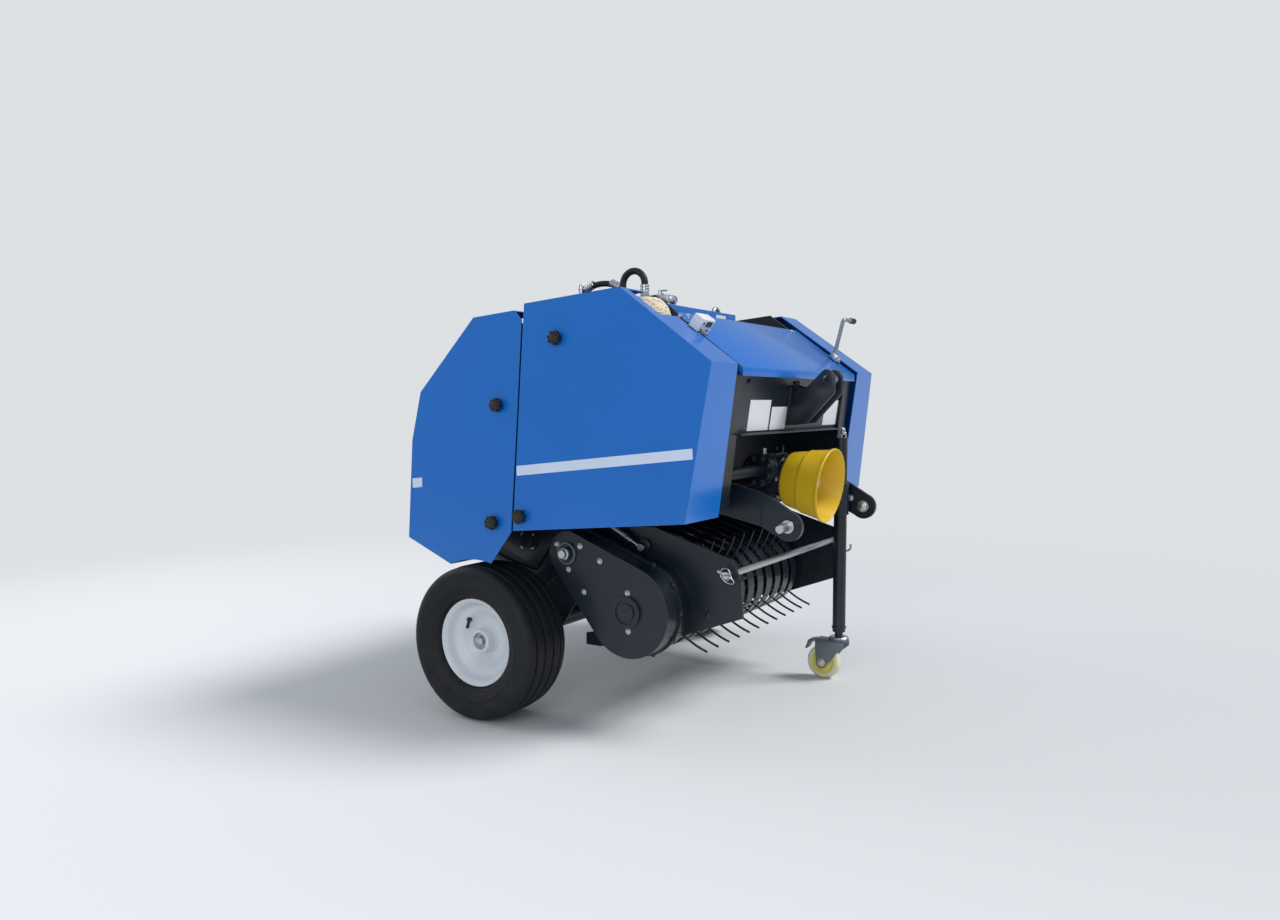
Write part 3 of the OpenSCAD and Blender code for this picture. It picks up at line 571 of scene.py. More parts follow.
def hex_bolt(flats):
    """A hexagon head with its turned crown on a washer, standing on Z = 0, for this width across flats."""
    washer = drum("washer", flats * 0.8, flats * 0.11, sides=28, edge=0.3)
    head = drum("head", flats / sqrt(3), flats * 0.45, sides=6, edge=0.5, low=flats * 0.1)
    crown = drum("crown", flats * 0.45, flats * 0.06, sides=24, edge=0.25, low=flats * 0.52)
    return joined("hex_bolt", [washer, head, crown])


def hex_nut(flats, stud):
    """A hexagon nut on its washer with the end of its stud through it."""
    bolt = hex_bolt(flats)
    end = drum("end", flats * 0.3, flats * 0.6 + stud, sides=20, edge=0.6)
    return joined("hex_nut", [bolt, end])


BOLT_8 = hex_bolt(13)
BOLT_6 = hex_bolt(10)
NUT_8 = hex_nut(13, 5)
turner = random.Random(7)


def fastened(name, body, pattern, node, places, toward, mat=ZINC):
    """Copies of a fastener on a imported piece, each seated where the line through its place meets it."""
    spots = []
    for place in places:
        spot, normal = seat(node, at(*place), toward)
        spots.append((spot - normal * SUNK, normal, turner.uniform(0, pi)))
    return belongs(scattered(name, pattern, spots), body, mat)


# Wheels

# Half of the tyre's section from its bead to the middle of the tread: radius and distance from there
TYRE_SECTION = [(108, 52), (117, 52), (119, 58), (123, 65), (126, 68), (130, 69), (133, 72),
                (140, 75.5), (146, 77.6), (147.5, 79.2), (150, 79.8), (152, 79), (163, 81.2), (172, 82.4),
                (180, 81.6), (187, 79), (193, 75.6), (197, 71.5), (199.6, 66), (200.6, 61), (201, 52.5),
                (196, 50.8), (196, 46.8), (202, 45.2), (203, 36), (203, 23), (202.2, 20.4), (197, 19),
                (197, 15.2), (202.4, 13.8), (203, 12)]


def wheel(side):
    sign = SIDES[side]
    middle, outward = at(0, sign * TRACK, TYRE_R), (0, sign, 0)
    tyre = turned(f"tyre_{side}_ribbed", there_and_back(TYRE_SECTION), steps=96)
    stand(smooth(tyre, 40), middle, outward)
    belongs(tyre, f"wheel_{side}", TYRE, instead_of=[f"tyre_{side}"])

    dish = [(30, 10), (36, -1), (42, -3), (50, -3), (58, 0), (66, 6), (73, 14), (78, 19), (84, 21.5),
            (90, 24), (96, 28), (100, 36), (102, 46), (104, 50), (107, 52.5), (109, 56), (112, 58),
            (115, 57.4), (116, 55), (115.6, 52.8), (113, 52.3), (107.8, 52.3), (107.8, -52.3), (113, -52.3),
            (116, -55), (115, -57.4), (111, -58), (106, -54), (102, -46), (97, -32), (90, -24), (86, 10),
            (80, 16), (74, 10), (68, 2), (58, -5), (50, -8), (30, -8)]
    rim = turned(f"rim_{side}_dish", dish, steps=96)
    hub = turned(f"hub_{side}", [(12.7, -54), (27, -54), (30, -52), (30, 36), (28.5, 38), (23, 38), (22, 36),
                                 (22, 28), (12.7, 28)])
    pressed = stand(smooth(joined(f"rim_{side}_painted", [rim, hub]), 32), middle, outward)
    belongs(pressed, f"wheel_{side}", WHITE_RIM, instead_of=[f"rim_{side}"])

    washer = drum("washer", 20, 3, low=28.5)
    nut = drum("nut", 15, 11, sides=6, edge=1.4, low=31.5)
    end = drum("end", 9.5, 9, low=34)
    belongs(stand(joined(f"hub_nut_{side}", [washer, nut, end]), middle, outward))

    stem = turned(f"valve_{side}", [(0, 0), (7.5, 0), (7.5, 3), (5, 6), (4.2, 10), (4.2, 24), (3.6, 25),
                                    (3.6, 27), (4.6, 28), (4.6, 36), (4, 37), (0, 37)], steps=24)
    inward_x, inward_z = on_circle((0, 0), -0.62, VALVE_ANGLE)
    stand(stem, round_about((0, TYRE_R), 74, VALVE_ANGLE, sign * (TRACK + 13)),
          (inward_x, sign * 0.75, inward_z))
    belongs(stem, f"wheel_{side}", BLACK_NYLON)


for side_name in SIDES:
    wheel(side_name)


# Side covers: stripe, its end square, and the lobed knobs on their posts

STRIPE_FROM, STRIPE_TO = 119, 627
STRIPE_Z = 655.5
STRIPE_SLOPE = 0.114
STRIPE_W = 25
STRIPE_END = (-226.5, 610.5)
COVER_Y = 580


def film(name, node, centre, size, along, toward, body, mat, thick=0.35):
    """A printed film or label laid on a packed face."""
    spot, normal = seat(node, centre, toward)
    sheet = block(name, (size[0], size[1], thick), (0, 0, thick / 2), edge=0.12, segments=1)
    lay(sheet, spot, along, normal)
    return belongs(sheet, body, mat)


for side_name, sign in SIDES.items():
    outward = (0, sign, 0)
    slope = (1, 0, STRIPE_SLOPE)
    middle = (STRIPE_FROM + STRIPE_TO) / 2
    length = (STRIPE_TO - STRIPE_FROM) * hypot(1, STRIPE_SLOPE)
    centre = at(middle, sign * COVER_Y, STRIPE_Z + STRIPE_SLOPE * (middle - STRIPE_FROM))
    film(f"stripe_{side_name}", f"front_cover_{side_name}", centre, (length, STRIPE_W), slope, outward,
         "frame", VINYL)
    centre = at(STRIPE_END[0], sign * COVER_Y, STRIPE_END[1])
    film(f"stripe_end_{side_name}", f"gate_cover_{side_name}", centre, (36, STRIPE_W + 1), slope, outward,
         "tailgate", VINYL)


def lobed_knob():
    """A star knob of seven lobes on its collar, standing on Z = 0, with the stud's end in its face."""
    collar = drum("collar", 13, 5, edge=0.6)
    core = drum("core", 15.5, 16, sides=40, edge=1.5, low=4)
    lobe = drum("lobe", 5.2, 16, sides=20, edge=1.8, low=4)
    lobes = []
    for angle in turns(7):
        twin = copied(lobe, "lobe_copy")
        twin.location = (0.0132 * cos(angle), 0.0132 * sin(angle), 0)
        lobes.append(twin)
    drop(lobe)
    bpy.context.view_layer.update()
    face = turned("face", [(0, 19), (8.5, 19), (8.5, 20.6), (7.8, 21), (0, 21)], steps=32)
    knob = joined("knob", [collar, core, face] + lobes)
    return bake_place(knob)


star = lobed_knob()
POST_R = 7
for name, places, cover, body, inner in (("cover_knobs", KNOBS, "front_cover", "frame", WALL_OUT),
                                         ("gate_knobs", GATE_KNOBS, "gate_cover", "tailgate", GATE_OUT)):
    stars, posts = [], []
    for side_name, sign in SIDES.items():
        for x, z in places:
            spot, normal = seat(f"{cover}_{side_name}", at(x + POST_R + 3, sign * 620, z), (0, sign, 0))
            spot.x = at(x, 0, 0).x
            stars.append((spot, normal, turner.uniform(0, 1)))
            reach = abs(spot.y) * 1000 - inner + 4
            post = drum("post", POST_R, reach, sides=24, edge=0.5)
            posts.append(stand(post, at(x, sign * inner, z), (0, sign, 0)))
    shown = joined(f"{name}_stars", [scattered("stars", star, stars)] + posts)
    belongs(shown, body, BLACK_NYLON, instead_of=[name])
drop(star)


# Hood: counter with its lead, crank lever


def on_hood(x, y, lift=0.0):
    """A place over the hood's slope, lift mm off its face."""
    part = (x - HOOD_TOP[0]) / (HOOD_LIP[0] - HOOD_TOP[0])
    z = HOOD_TOP[1] + part * (HOOD_LIP[1] - HOOD_TOP[1])
    return at(x + lift * sin(HOOD_SLOPE), y, z + lift * cos(HOOD_SLOPE))


HOOD_OUT = (sin(HOOD_SLOPE), 0, cos(HOOD_SLOPE))
DOWN_HOOD = (cos(HOOD_SLOPE), 0, -sin(HOOD_SLOPE))
COUNTER = (540, -392)
CRANK_MOUNT = (598, 380)


def on_slope(piece, x, y, lift=0.0):
    """Lays a piece drawn on its own XY plane on the hood, its X down the slope."""
    return lay(piece, on_hood(x, y, lift), DOWN_HOOD, HOOD_OUT)


def hood():
    """Hood: one folded sheet with its lip, turned down at both edges, clear of the covers beside it."""
    right_edge, left_edge = -382, 400
    (top_x, top_z), (lip_x, lip_z) = HOOD_TOP, HOOD_LIP
    bend, turn = (lip_x - 6, lip_z - 4), degrees(pi / 2 - HOOD_SLOPE)
    section = [HOOD_TOP] + arc(bend, 6, turn, 0, 5) + [(lip_x, 894), (lip_x - 3, 894)]
    section += arc(bend, 3, 0, turn, 4) + [(top_x, top_z - 4)]
    sheet = plate("hood_sheet", section, left_edge - right_edge, 0.5)
    upright(sheet, left_edge)
    flange = plate("hood_flange", [(top_x, top_z - 1), (lip_x - 3, lip_z - 2), (lip_x - 3, lip_z - 19),
                                   (top_x, top_z - 18)], 2.5, 0.6)
    edges = uprights(flange, left_edge, right_edge + 2.5)
    belongs(joined("hood_folded", [sheet] + edges), "frame", BLUE, instead_of=["hood"])
    screws = [(on_hood(480, y), Vector(HOOD_OUT), 0.4) for y in (-330, 330)]
    belongs(scattered("hood_screws", BOLT_6, screws))


hood()


def counter():
    """Bale counter: a white two-part case on a bracket, its display and buttons toward the tractor."""
    body = block("case", (30, 62, 36), (0, 0, 24.4), edge=2.6, segments=3)
    belongs(on_slope(body, *COUNTER), "frame", WHITE_ABS, instead_of=["counter_box"])
    seam = block("seam", (30.5, 62.5, 0.8), (0, 0, 15), edge=0.2, segments=1)
    frame_edge = block("bezel", (1.6, 36, 21), (14.7, 7, 29), edge=0.6)
    belongs(on_slope(joined("counter_bezel", [seam, frame_edge]), *COUNTER), "frame", PAPER)
    glass = block("counter_display", (1.0, 30, 15), (15.3, 7, 29.5), edge=0.3, segments=1)
    belongs(on_slope(glass, *COUNTER), "frame", GLASS)
    buttons = []
    for y, z in ((-17, 12.5), (12, 12.5), (-19, 30)):
        button = drum("button", 3.4, 1.6, sides=24, edge=0.5)
        buttons.append(stand(button, Vector((0.0148, y / 1000, z / 1000)), AHEAD))
    belongs(on_slope(joined("counter_buttons", buttons), *COUNTER), "frame", BLACK_NYLON)
    foot = block("foot", (30, 66, 2.5), (-1, 6, 1.3), edge=0.8)
    stem = block("stem", (4, 34, 6), (-6, 4, 4.6), edge=0.6)
    belongs(on_slope(joined("counter_bracket", [foot, stem]), *COUNTER))


counter()

lead_line = [at(437, -396, DECK_TOP + 5), at(454, -398, DECK_TOP + 8), on_hood(476, -396, 3),
             on_hood(500, -395, 0), on_hood(517, -396, 2), on_hood(526, -396, 9), on_hood(530, -394, 14)]
belongs(tube("counter_lead", lead_line, 3.4, sides=10, resolution=6), "frame", HOSE)
clip_base = block("clip_base", (12, 14, 1.6), (0, 4, 0.8), edge=0.4)
clip_loop = turned("clip_loop", [(3.6, -5), (5.2, -5), (5.2, 5), (3.6, 5)], steps=24)
stand(clip_loop, Vector((0, -0.004, 0.0045)), AHEAD)
belongs(on_slope(joined("lead_clip", [clip_base, clip_loop]), 492, -391, -0.6))

CRANK = (602, 380, 971)
CRANK_TILT = radians(14)


def crank():
    """Twine arm's crank: a galvanised rod bent over at the top, with its dark end cap, on a lug with nuts."""
    up = Vector((sin(CRANK_TILT), 0, cos(CRANK_TILT)))

    def on_rod(height, left=0):
        return at(*CRANK) + (up * height + Vector((0, left, 0))) / 1000

    bends = ((0, 0), (40, 0), (80, 0), (98, 0), (106, 0), (112.8, 3.2), (116, 10), (117, 20), (117, 40),
             (117, 66))
    rod = tube("crank_rod", [on_rod(*bend) for bend in bends], 6.2, sides=16, resolution=6)
    boss = stand(drum("boss", 9.5, 20, edge=1.0), on_rod(-4), up)
    belongs(joined("crank_parts", [rod, boss]), "frame", GALVANISED, instead_of=["crank_lever"])
    cap = turned("crank_cap", [(0, 0), (8.6, 0), (9, 0.6), (9, 6), (7.4, 7), (7.4, 22), (9, 23), (9, 29),
                               (8, 30), (0, 30)], steps=32)
    belongs(stand(cap, on_rod(117, 64), LEFT), "frame", BLACK_NYLON)
    lug = block("lug", (26, 28, 3.5), (0, 2, 1.7))
    ear = block("ear", (24, 4, 20), (0, -12, 10.5), edge=1.2)
    x, y = CRANK_MOUNT
    belongs(on_slope(joined("crank_lug", [lug, ear]), x, y))
    spots = [(on_hood(x + along, y + 9, 3.4), Vector(HOOD_OUT), 0.3) for along in (9, -8)]
    belongs(scattered("crank_bolts", NUT_8, spots))


crank()


# Deck: hoses' fittings, valve, twine

ARCH_X = 298
ARCH_R = 34
HOSE_Y = -300
VALVE_TOP = 1108


def hose_end(name, radius):
    """A crimped ferrule with its hexagon nut, standing on Z = 0."""
    nut = drum("nut", radius + 4.2, 11, sides=6)
    crimps = [(grow, low + up) for low in (11, 19, 27) for grow, up in ((3, 0), (3, 4), (2, 5), (2, 7))]
    section = [(0.2, 10), (2.6, 10)] + crimps[:-1] + [(0.2, 32)]
    return joined(name, [nut, turned("ferrule", [(radius + grow, z) for grow, z in section], steps=32)])


fitting = hose_end("fitting", 9)
ends = [(at(ARCH_X - ARCH_R, HOSE_Y, DECK_TOP), UP, 0.2), (at(ARCH_X + ARCH_R, HOSE_Y, VALVE_TOP), UP, 0.5)]
belongs(scattered("hose_fittings", fitting, ends))
drop(fitting)
BOW = (198.7, 1031)
BOW_R = 120
BOW_HALF = radians(28)
small = hose_end("small_fitting", 8)
bow_ends = []
for sign in (-1, 1):
    tip = at(BOW[0] + sign * BOW_R * sin(BOW_HALF), HOSE_Y, BOW[1] + BOW_R * cos(BOW_HALF))
    bow_ends.append((tip, (-sign * cos(BOW_HALF), 0, sin(BOW_HALF)), 0.4))
belongs(scattered("bow_fittings", small, bow_ends))
drop(small)


def valve():
    """Flow valve: a machined body with plugs, a port and its lever, beside the post with its cap."""
    z = VALVE_TOP - 13
    parts = [block("valve_body", (104, 44, 26), (364 - MID_X, HOSE_Y, z), edge=1.6)]
    for x in (330, 352):
        parts.append(stand(drum("cap", 8.5, 7, sides=6, edge=0.7), at(x, HOSE_Y - 22, z), RIGHT))
    port = joined("port", [drum("nut", 11, 7, sides=6, edge=0.7), drum("pipe", 8.8, 12, sides=28, edge=1.0)])
    parts.append(stand(port, at(416, HOSE_Y, z), AHEAD))
    spool = joined("spool", [drum("gland", 10, 6, sides=28, edge=0.6), drum("stem", 4.5, 16, edge=0.5)])
    parts.append(stand(spool, at(380, HOSE_Y, VALVE_TOP), UP))
    parts.append(block("lever", (26, 7, 4), (388 - MID_X, HOSE_Y, VALVE_TOP + 13), edge=1.2))
    post = turned("post", [(0, 0), (11, 0), (11, 84), (10, 86), (10, 90), (11, 91), (11, 102), (9.6, 105),
                           (0, 105)], steps=32)
    parts.append(stand(post, at(127.5, HOSE_Y, DECK_TOP), UP))
    belongs(joined("valve_parts", parts), instead_of=["hose_valve"])


valve()

BALL = at(432, -449, 1034)
BALL_R = 60


def twine_ball():
    """A ball of baler twine: a core wound over with strands that slowly turn about it."""
    start()
    bpy.ops.mesh.primitive_uv_sphere_add(segments=48, ring_count=32, radius=(BALL_R - 4.4) / 1000)
    core = smooth(bake_place(named("twine_core")), 60)
    points = []
    windings, steps = 52, 26
    for index in range(windings * steps):
        angle = 2 * pi * index / steps
        lean = 2 * pi * 0.381966 * index / steps
        ring = Vector((cos(angle), sin(angle), 0))
        ring = Matrix.Rotation(radians(34) + 0.5 * sin(lean * 0.31), 3, "X") @ ring
        ring = Matrix.Rotation(lean * 0.5, 3, "Z") @ ring
        points.append(ring * (BALL_R - 3.4 + 1.1 * sin(index * 0.013)) / 1000)
    strand = tube("strand", points, 2.2, sides=6, resolution=1)
    ball = joined("twine_windings", [core, strand])
    ball.location = BALL
    return belongs(bake_place(ball), "frame", TWINE, instead_of=["twine_ball"])


twine_ball()


# Front: labels, mast, gearbox, guard's stub

FRONT_LABELS = ((-276, -150, 757, 836), (-140, -40, 757, 818), (236, 345, 762, 836))
for index, (y_low, y_high, z_low, z_high) in enumerate(FRONT_LABELS):
    film(f"front_label_{index + 1}", "front_panel", at(660, (y_low + y_high) / 2, (z_low + z_high) / 2),
         (y_high - y_low, (z_high - z_low) * 1.01), LEFT, AHEAD, "frame", PAPER, thick=0.25)
film("twine_box_label", "twine_box", at(430, -42, 1066), (58, 16), LEFT, AHEAD, "frame", PAPER)


def both_faces(inner, outer):
    """Where welds run along both faces of a pair of plates."""
    return -outer - 1, -inner + 1, inner - 1, outer + 1


def mast():
    """Top link mast: two plates with a rounded head and a neck behind it, welded to the panel."""
    head = arc(MAST_HOLE, 25, 0, 104, 10)
    outline = [(621, 766), (684, 774), (MAST_HOLE[0] + 25, MAST_HOLE[1] - 38)] + head
    outline += [(MAST_HOLE[0] - 30, MAST_HOLE[1] + 1), (682, 872)]
    outline += arc((667, 886), 18, -42, -120, 4) + [(637, 877)]
    sheet = plate("mast_plate", outline, MAST_OUT - MAST_IN, edge=1.0)
    hole = drum("hole", 9.7, 40, sides=48, edge=0, low=-10)
    hole.location = (MAST_HOLE[0] / 1000, MAST_HOLE[1] / 1000, 0)
    plates = uprights(smooth(cut(sheet, bake_place(hole))), -MAST_IN, MAST_OUT)
    beads = [weld("bead", at(622, y, 768), at(636.5, y, 872)) for y in both_faces(MAST_IN, MAST_OUT)]
    belongs(joined("mast_plates", plates + beads), "frame", DARK, instead_of=["mast"])
    bush = turned("bush", [(9.7, -0.6), (12.6, -0.6), (13, -0.2), (13, 8.2), (12.6, 8.6), (9.7, 8.6)])
    for name, y, mat in (("right", -MAST_OUT, DARK), ("left", MAST_IN, ZINC)):
        spots = [(at(MAST_HOLE[0], y, MAST_HOLE[1]), LEFT, 0.0)]
        belongs(scattered(f"mast_bushing_{name}", bush, spots), "frame", mat)
    drop(bush)


mast()

fastened("panel_bolts", "frame", BOLT_6, "front_panel", [(660, y, 882) for y in (10, -10, -300, 300)], AHEAD,
         DARK)

STUB_AXIS = Vector((cos(STUB_TILT), 0, -sin(STUB_TILT)))


def on_stub(along, radius=0.0, angle=0.0):
    """A place round the drive stub: along its axis and out from it in mm, angle in degrees."""
    up = Vector((sin(STUB_TILT), 0, cos(STUB_TILT)))
    off = (up * cos(radians(angle)) + Vector(LEFT) * sin(radians(angle))) * radius / 1000
    return at(STUB[0], 0, STUB[1]) + STUB_AXIS * along / 1000 + off


gear_spots = []
for index in range(8):
    for sign in (-1, 1):
        gear_spots.append((round_about(GEAR, 35, 45 * index + 22.5, sign * 96), (0, sign, 0), 0.2))
belongs(scattered("gearbox_bolts", BOLT_8, gear_spots), "frame", DARK)
cover_spots = [(on_stub(5.8, 59, 60 * i + 30), STUB_AXIS, 0.4) for i in range(6)]
belongs(scattered("gearbox_cover_bolts", BOLT_6, cover_spots))

breather = turned("breather", [(0, 0), (8, 0), (8, 5), (6, 6), (6, 10), (7.5, 11), (7.5, 15), (5, 17),
                               (0, 17)], steps=24)
belongs(stand(breather, at(560, -40, 687.5), UP))


def splined_stub():
    """Drive stub: six splines on a turned shaft, with the locking groove near its end."""
    shaft = turned("stub_shaft", [(0, -20), (20, -20), (20, 22), (18.5, 24), (17.4, 25), (14.7, 30),
                                  (14.7, 101), (12.5, 104), (0, 104)], steps=60)
    tooth = block("tooth", (5.0, 8.4, 46), (14.9, 0, 53), edge=0.6)
    tip = block("tip", (5.0, 8.4, 14), (14.9, 0, 93), edge=0.9)
    pattern = joined("splines", [tooth, tip])
    parts = [shaft]
    for angle in turns(6):
        twin = copied(pattern, "spline")
        twin.matrix_world = Matrix.Rotation(angle, 4, "Z")
        parts.append(twin)
    drop(pattern)
    bpy.context.view_layer.update()
    stub = stand(bake_place(joined("splined_stub", parts)), on_stub(0), STUB_AXIS)
    belongs(stub, "stub_shaft", instead_of=["pto_shaft"])


splined_stub()


def guard():
    """Drive guard: a moulded cone with a rounded back, a step half way and a rolled lip."""
    outside = [(26, 18), (62, 18)] + arc((64, 30), 12, -90, 0, 6)
    outside += [(77.4, 34), (84, 71), (86.6, 73), (88.2, 76), (88.4, 80), (97, 130), (98, 133.4),
                (101, 134.6), (102, 136.6), (102, 140.4), (101, 142)]
    inside = [(99.2, 142), (98.2, 139), (94.6, 132), (86, 81), (83.6, 76), (81.8, 73), (74, 33), (70.6, 25),
              (62, 21), (26, 21)]
    shell = stand(smooth(turned("guard_shell", outside + inside, steps=96), 28), on_stub(0), STUB_AXIS)
    belongs(shell, "frame", YELLOW, instead_of=["pto_guard"])


guard()
guard_ring = turned("guard_ring", [(21.2, 21.5), (52, 21.5), (52, 23.5), (50, 24.5), (26, 24.5),
                                   (21.2, 23.5)], steps=64)
belongs(stand(guard_ring, on_stub(0), STUB_AXIS))
guard_screws = [(on_stub(24.4, 40, 90 * i + 45), STUB_AXIS, 0.1) for i in range(4)]
belongs(scattered("guard_screws", BOLT_6, guard_screws))


# Lower hitch: chamfered pins with their cross holes, welds and nuts


def hitch_pins():
    """Lower pins: a shoulder outside the plate, and a washer, nut and stud's end inside it."""
    pin = turned("pin", [(0, 0), (11, 0), (11, 12), (15.6, 12), (17, 13), (17, 16), (16.4, 17), (11, 17),
                         (11, 66), (8.4, 69), (0, 69)])
    hole = drum("hole", 5.5, 60, edge=0, low=-30)
    cut(pin, stand(hole, Vector((0, 0, 0.057)), LEFT))
    washer = turned("washer", [(10.4, -2.6), (16.6, -2.6), (17, -2.2), (17, -0.2), (16.6, 0), (10.4, 0)])
    nut = drum("nut", 16, 9.6, sides=6, edge=1.2, low=-12.2)
    stud = drum("stud", 9.6, 14.4, low=-14)
    fixed = smooth(joined("lower_pin", [pin, washer, nut, stud]), 32)
    pins = [(at(HITCH[0], sign * HITCH_IN, HITCH[1]), (0, sign, 0), 0.0) for sign in (-1, 1)]
    belongs(scattered("lower_pins", fixed, pins), instead_of=["hitch_pins"])
    drop(fixed)


hitch_pins()
beads = [weld("bead", at(541, y, 606), at(606, y, 606), 2.6) for y in both_faces(HITCH_IN, HITCH_OUT)]
beads += [weld("bead", at(668, y, 597), at(664, y, 523)) for y in (-HITCH_OUT - 0.8, HITCH_OUT + 0.8)]
belongs(joined("hitch_welds", beads), "frame", DARK)
fastened("hitch_nut", "frame", BOLT_8, "hitch_plates", [(698, 200, 546)], RIGHT)
fastened("hitch_nut_outer", "frame", BOLT_8, "hitch_plates", [(698, 300, 546)], LEFT)


# Pickup: case bolts, springs, ring pins, tine coils

CASE_BOLTS = ((305, 426), (255, 341), (389, 352), (391, 256))
top_bolts = [on_circle((CASE_TOP[0] + 3, CASE_TOP[1]), 43, angle) for angle in (150, 30, 270)]
for name, places in (("case_top_bolts", top_bolts), ("case_bolts", CASE_BOLTS)):
    fastened(name, "frame", BOLT_6, "chain_case", [(x, -520, z) for x, z in places], RIGHT)

# Small screws that hold the case's two shells together at the seam
seam_spots = [(round_about(REEL, 121, angle, -CASE_SEAM - 6), RIGHT, 0.3)
              for angle in (-150, -110, -70, -35, 0, 35, 70)]
belongs(scattered("seam_screws", BOLT_6, seam_spots), "frame", DARK)


def shaft_end():
    """End of the top shaft: a nut on the shaft inside its ring."""
    place = at(CASE_TOP[0], -CASE_FACE, CASE_TOP[1])
    ring = turned("ring", [(24, 0), (29, 0), (29.4, 1), (29.4, 5), (28.6, 6.6), (25, 6.6), (24, 5)], steps=64)
    stub = turned("stub", [(0, 5), (11.8, 5), (12.2, 6), (12.2, 23), (10.6, 26.2), (0, 26.2)], steps=40)
    nut = drum("nut", 17, 11, sides=8, edge=1.2, low=8)
    belongs(stand(joined("shaft_end", [stub, nut]), place, RIGHT))
    belongs(stand(ring, place, RIGHT), "frame", DULL_ZINC)


shaft_end()

SPRING_FOOT = (250, 520)
SPRING_END = (372, 455)
SPRING_WAY = Vector((cos(radians(28)), 0, -sin(radians(28))))
SPRING_Y = 382


def spring(side):
    """Lifting spring of the pickup: close coils, a threaded rod and its nuts, between two pins."""
    sign = SIDES[side]
    foot = at(SPRING_FOOT[0], sign * SPRING_Y, SPRING_FOOT[1])

    def along(distance):
        return foot + SPRING_WAY * distance / 1000

    wound = coil("coils", along(8), along(88), 7.2, 3.0, 23)
    core = stand(drum("core", 4.2, 132, sides=20, edge=0.5), along(3), SPRING_WAY)
    nuts = [stand(drum("nut", 8, 6.5, sides=6, edge=0.6), along(distance), SPRING_WAY)
            for distance in (89, 98, 122)]
    eyes = []
    for (x, z), inner in ((SPRING_FOOT, WALL_OUT), (SPRING_END, SIDE_PLATE)):
        reach = SPRING_Y - inner + 6
        pin = turned("pin", [(0, 0), (6, 0), (6, reach - 2), (5.2, reach), (0, reach)], steps=28)
        eyes.append(stand(pin, at(x, sign * inner, z), (0, sign, 0)))
        collar = turned("collar", there_and_back([(6, -5.5), (9.6, -5.5), (10, -5)]), steps=28)
        eyes.append(stand(collar, at(x, sign * SPRING_Y, z), (0, sign, 0)))
    return joined(f"spring_{side}", [wound, core] + nuts + eyes)


bracket = plate("bracket", [(356, 438), (384, 444), (392, 462), (384, 474), (366, 478), (354, 462)], 4)
belongs(joined("spring_brackets", uprights(bracket, -SIDE_PLATE - 4, SIDE_PLATE + 8)), "frame", DARK)
belongs(joined("lift_springs", [spring("right"), spring("left")]), instead_of=["tension_springs"])


def ring_pin(sign):
    """Linch pin through the windguard bar's end, its ring hanging over the end."""
    place = at(BAR[0], sign * 380, BAR[1])
    pin = turned("pin", [(0, -16), (2.6, -16), (3.6, -14), (3.6, 18), (5.0, 18), (5.0, 25), (0, 25)],
                 steps=20)
    stand(pin, place, (-0.94, 0, 0.34))
    ring = [place + Vector((15 * cos(a) - 2, sign * (2 + 3 * cos(a)), 15 * sin(a) + 3)) / 1000
            for a in turns(24)]
    hook = [place + Vector((8 + 16 * cos(a), sign * (7.5 + 3 * sin(a)), 9 * sin(a) - 4 * cos(a) - 9)) / 1000
            for a in turns(20)]
    return joined("ring_pin", [pin, tube("loop", ring, 1.8, loop=True, resolution=3),
                               tube("link", hook, 1.5, loop=True, resolution=3)])


belongs(joined("bar_ring_pins", [ring_pin(-1), ring_pin(1)]))


def tine_coils():
    """Three turns of wire round each tine's foot, which the tine springs from."""
    profile = [(12.6, -9)]
    for turn in (-6, 0, 6):
        profile += arc((14, turn), 3.1, -88, 88, 6)
    wound = turned("coil_turns", profile + [(12.6, 9)], steps=24)
    spots = []
    for bar in range(TINE_BARS):
        for index in range(TINES):
            y = ((TINES - 1) / 2 - index) * TINE_PITCH
            spots.append((round_about(REEL, BAR_RING, bar * 360 / TINE_BARS + REEL_TURN, y), LEFT, 0.0))
    belongs(scattered("tine_coils", wound, spots), "reel", SPRING_STEEL)
    drop(wound)


tine_coils()
# The chain case covers the rear bolts on the right
PLATE_BOLTS = {"right": ((480, 268), (560, 296)), "left": ((214, 480), (300, 478), (480, 268), (560, 296))}
for side_name, sign in SIDES.items():
    places = [(x, sign * 380, z) for x, z in PLATE_BOLTS[side_name]]
    fastened(f"side_plate_bolts_{side_name}", "frame", BOLT_8, "pickup_sides", places, (0, sign, 0), DARK)


# Walls: bolts of the rollers' bearings

for body, angles, face in (("frame", (-6, 30), WALL_OUT + 5),
                           ("tailgate", (102, 138, 174, 210, 246), GATE_OUT + 5)):
    spots = []
    for sign in (-1, 1):
        for ring_angle in angles:
            centre = on_circle(CHAMBER, RING_R, ring_angle)
            spots += [(round_about(centre, 26.5, turn, sign * face), (0, sign, 0), 0.2)
                      for turn in (45, 135, 225, 315)]
    small_bolt = hex_bolt(7)
    belongs(scattered(f"bearing_bolts_{body}", small_bolt, spots), body)
    drop(small_bolt)


# Gusset plates in the plane of the side walls, from the axle's arms to the tailgate, clear of its swing

GUSSET = ((116, 372), (116, 494), (114.9, 493), (16.9, 359.5), (0, 358), (-60, 370), (-100, 381), (-150, 398),
          (-160, 380), (-75, 300), (-42, 262))
belongs(joined("axle_gussets", uprights(plate("gusset", GUSSET, WALL_OUT - WALL_IN), -WALL_IN, WALL_OUT)),
        "frame", DARK)

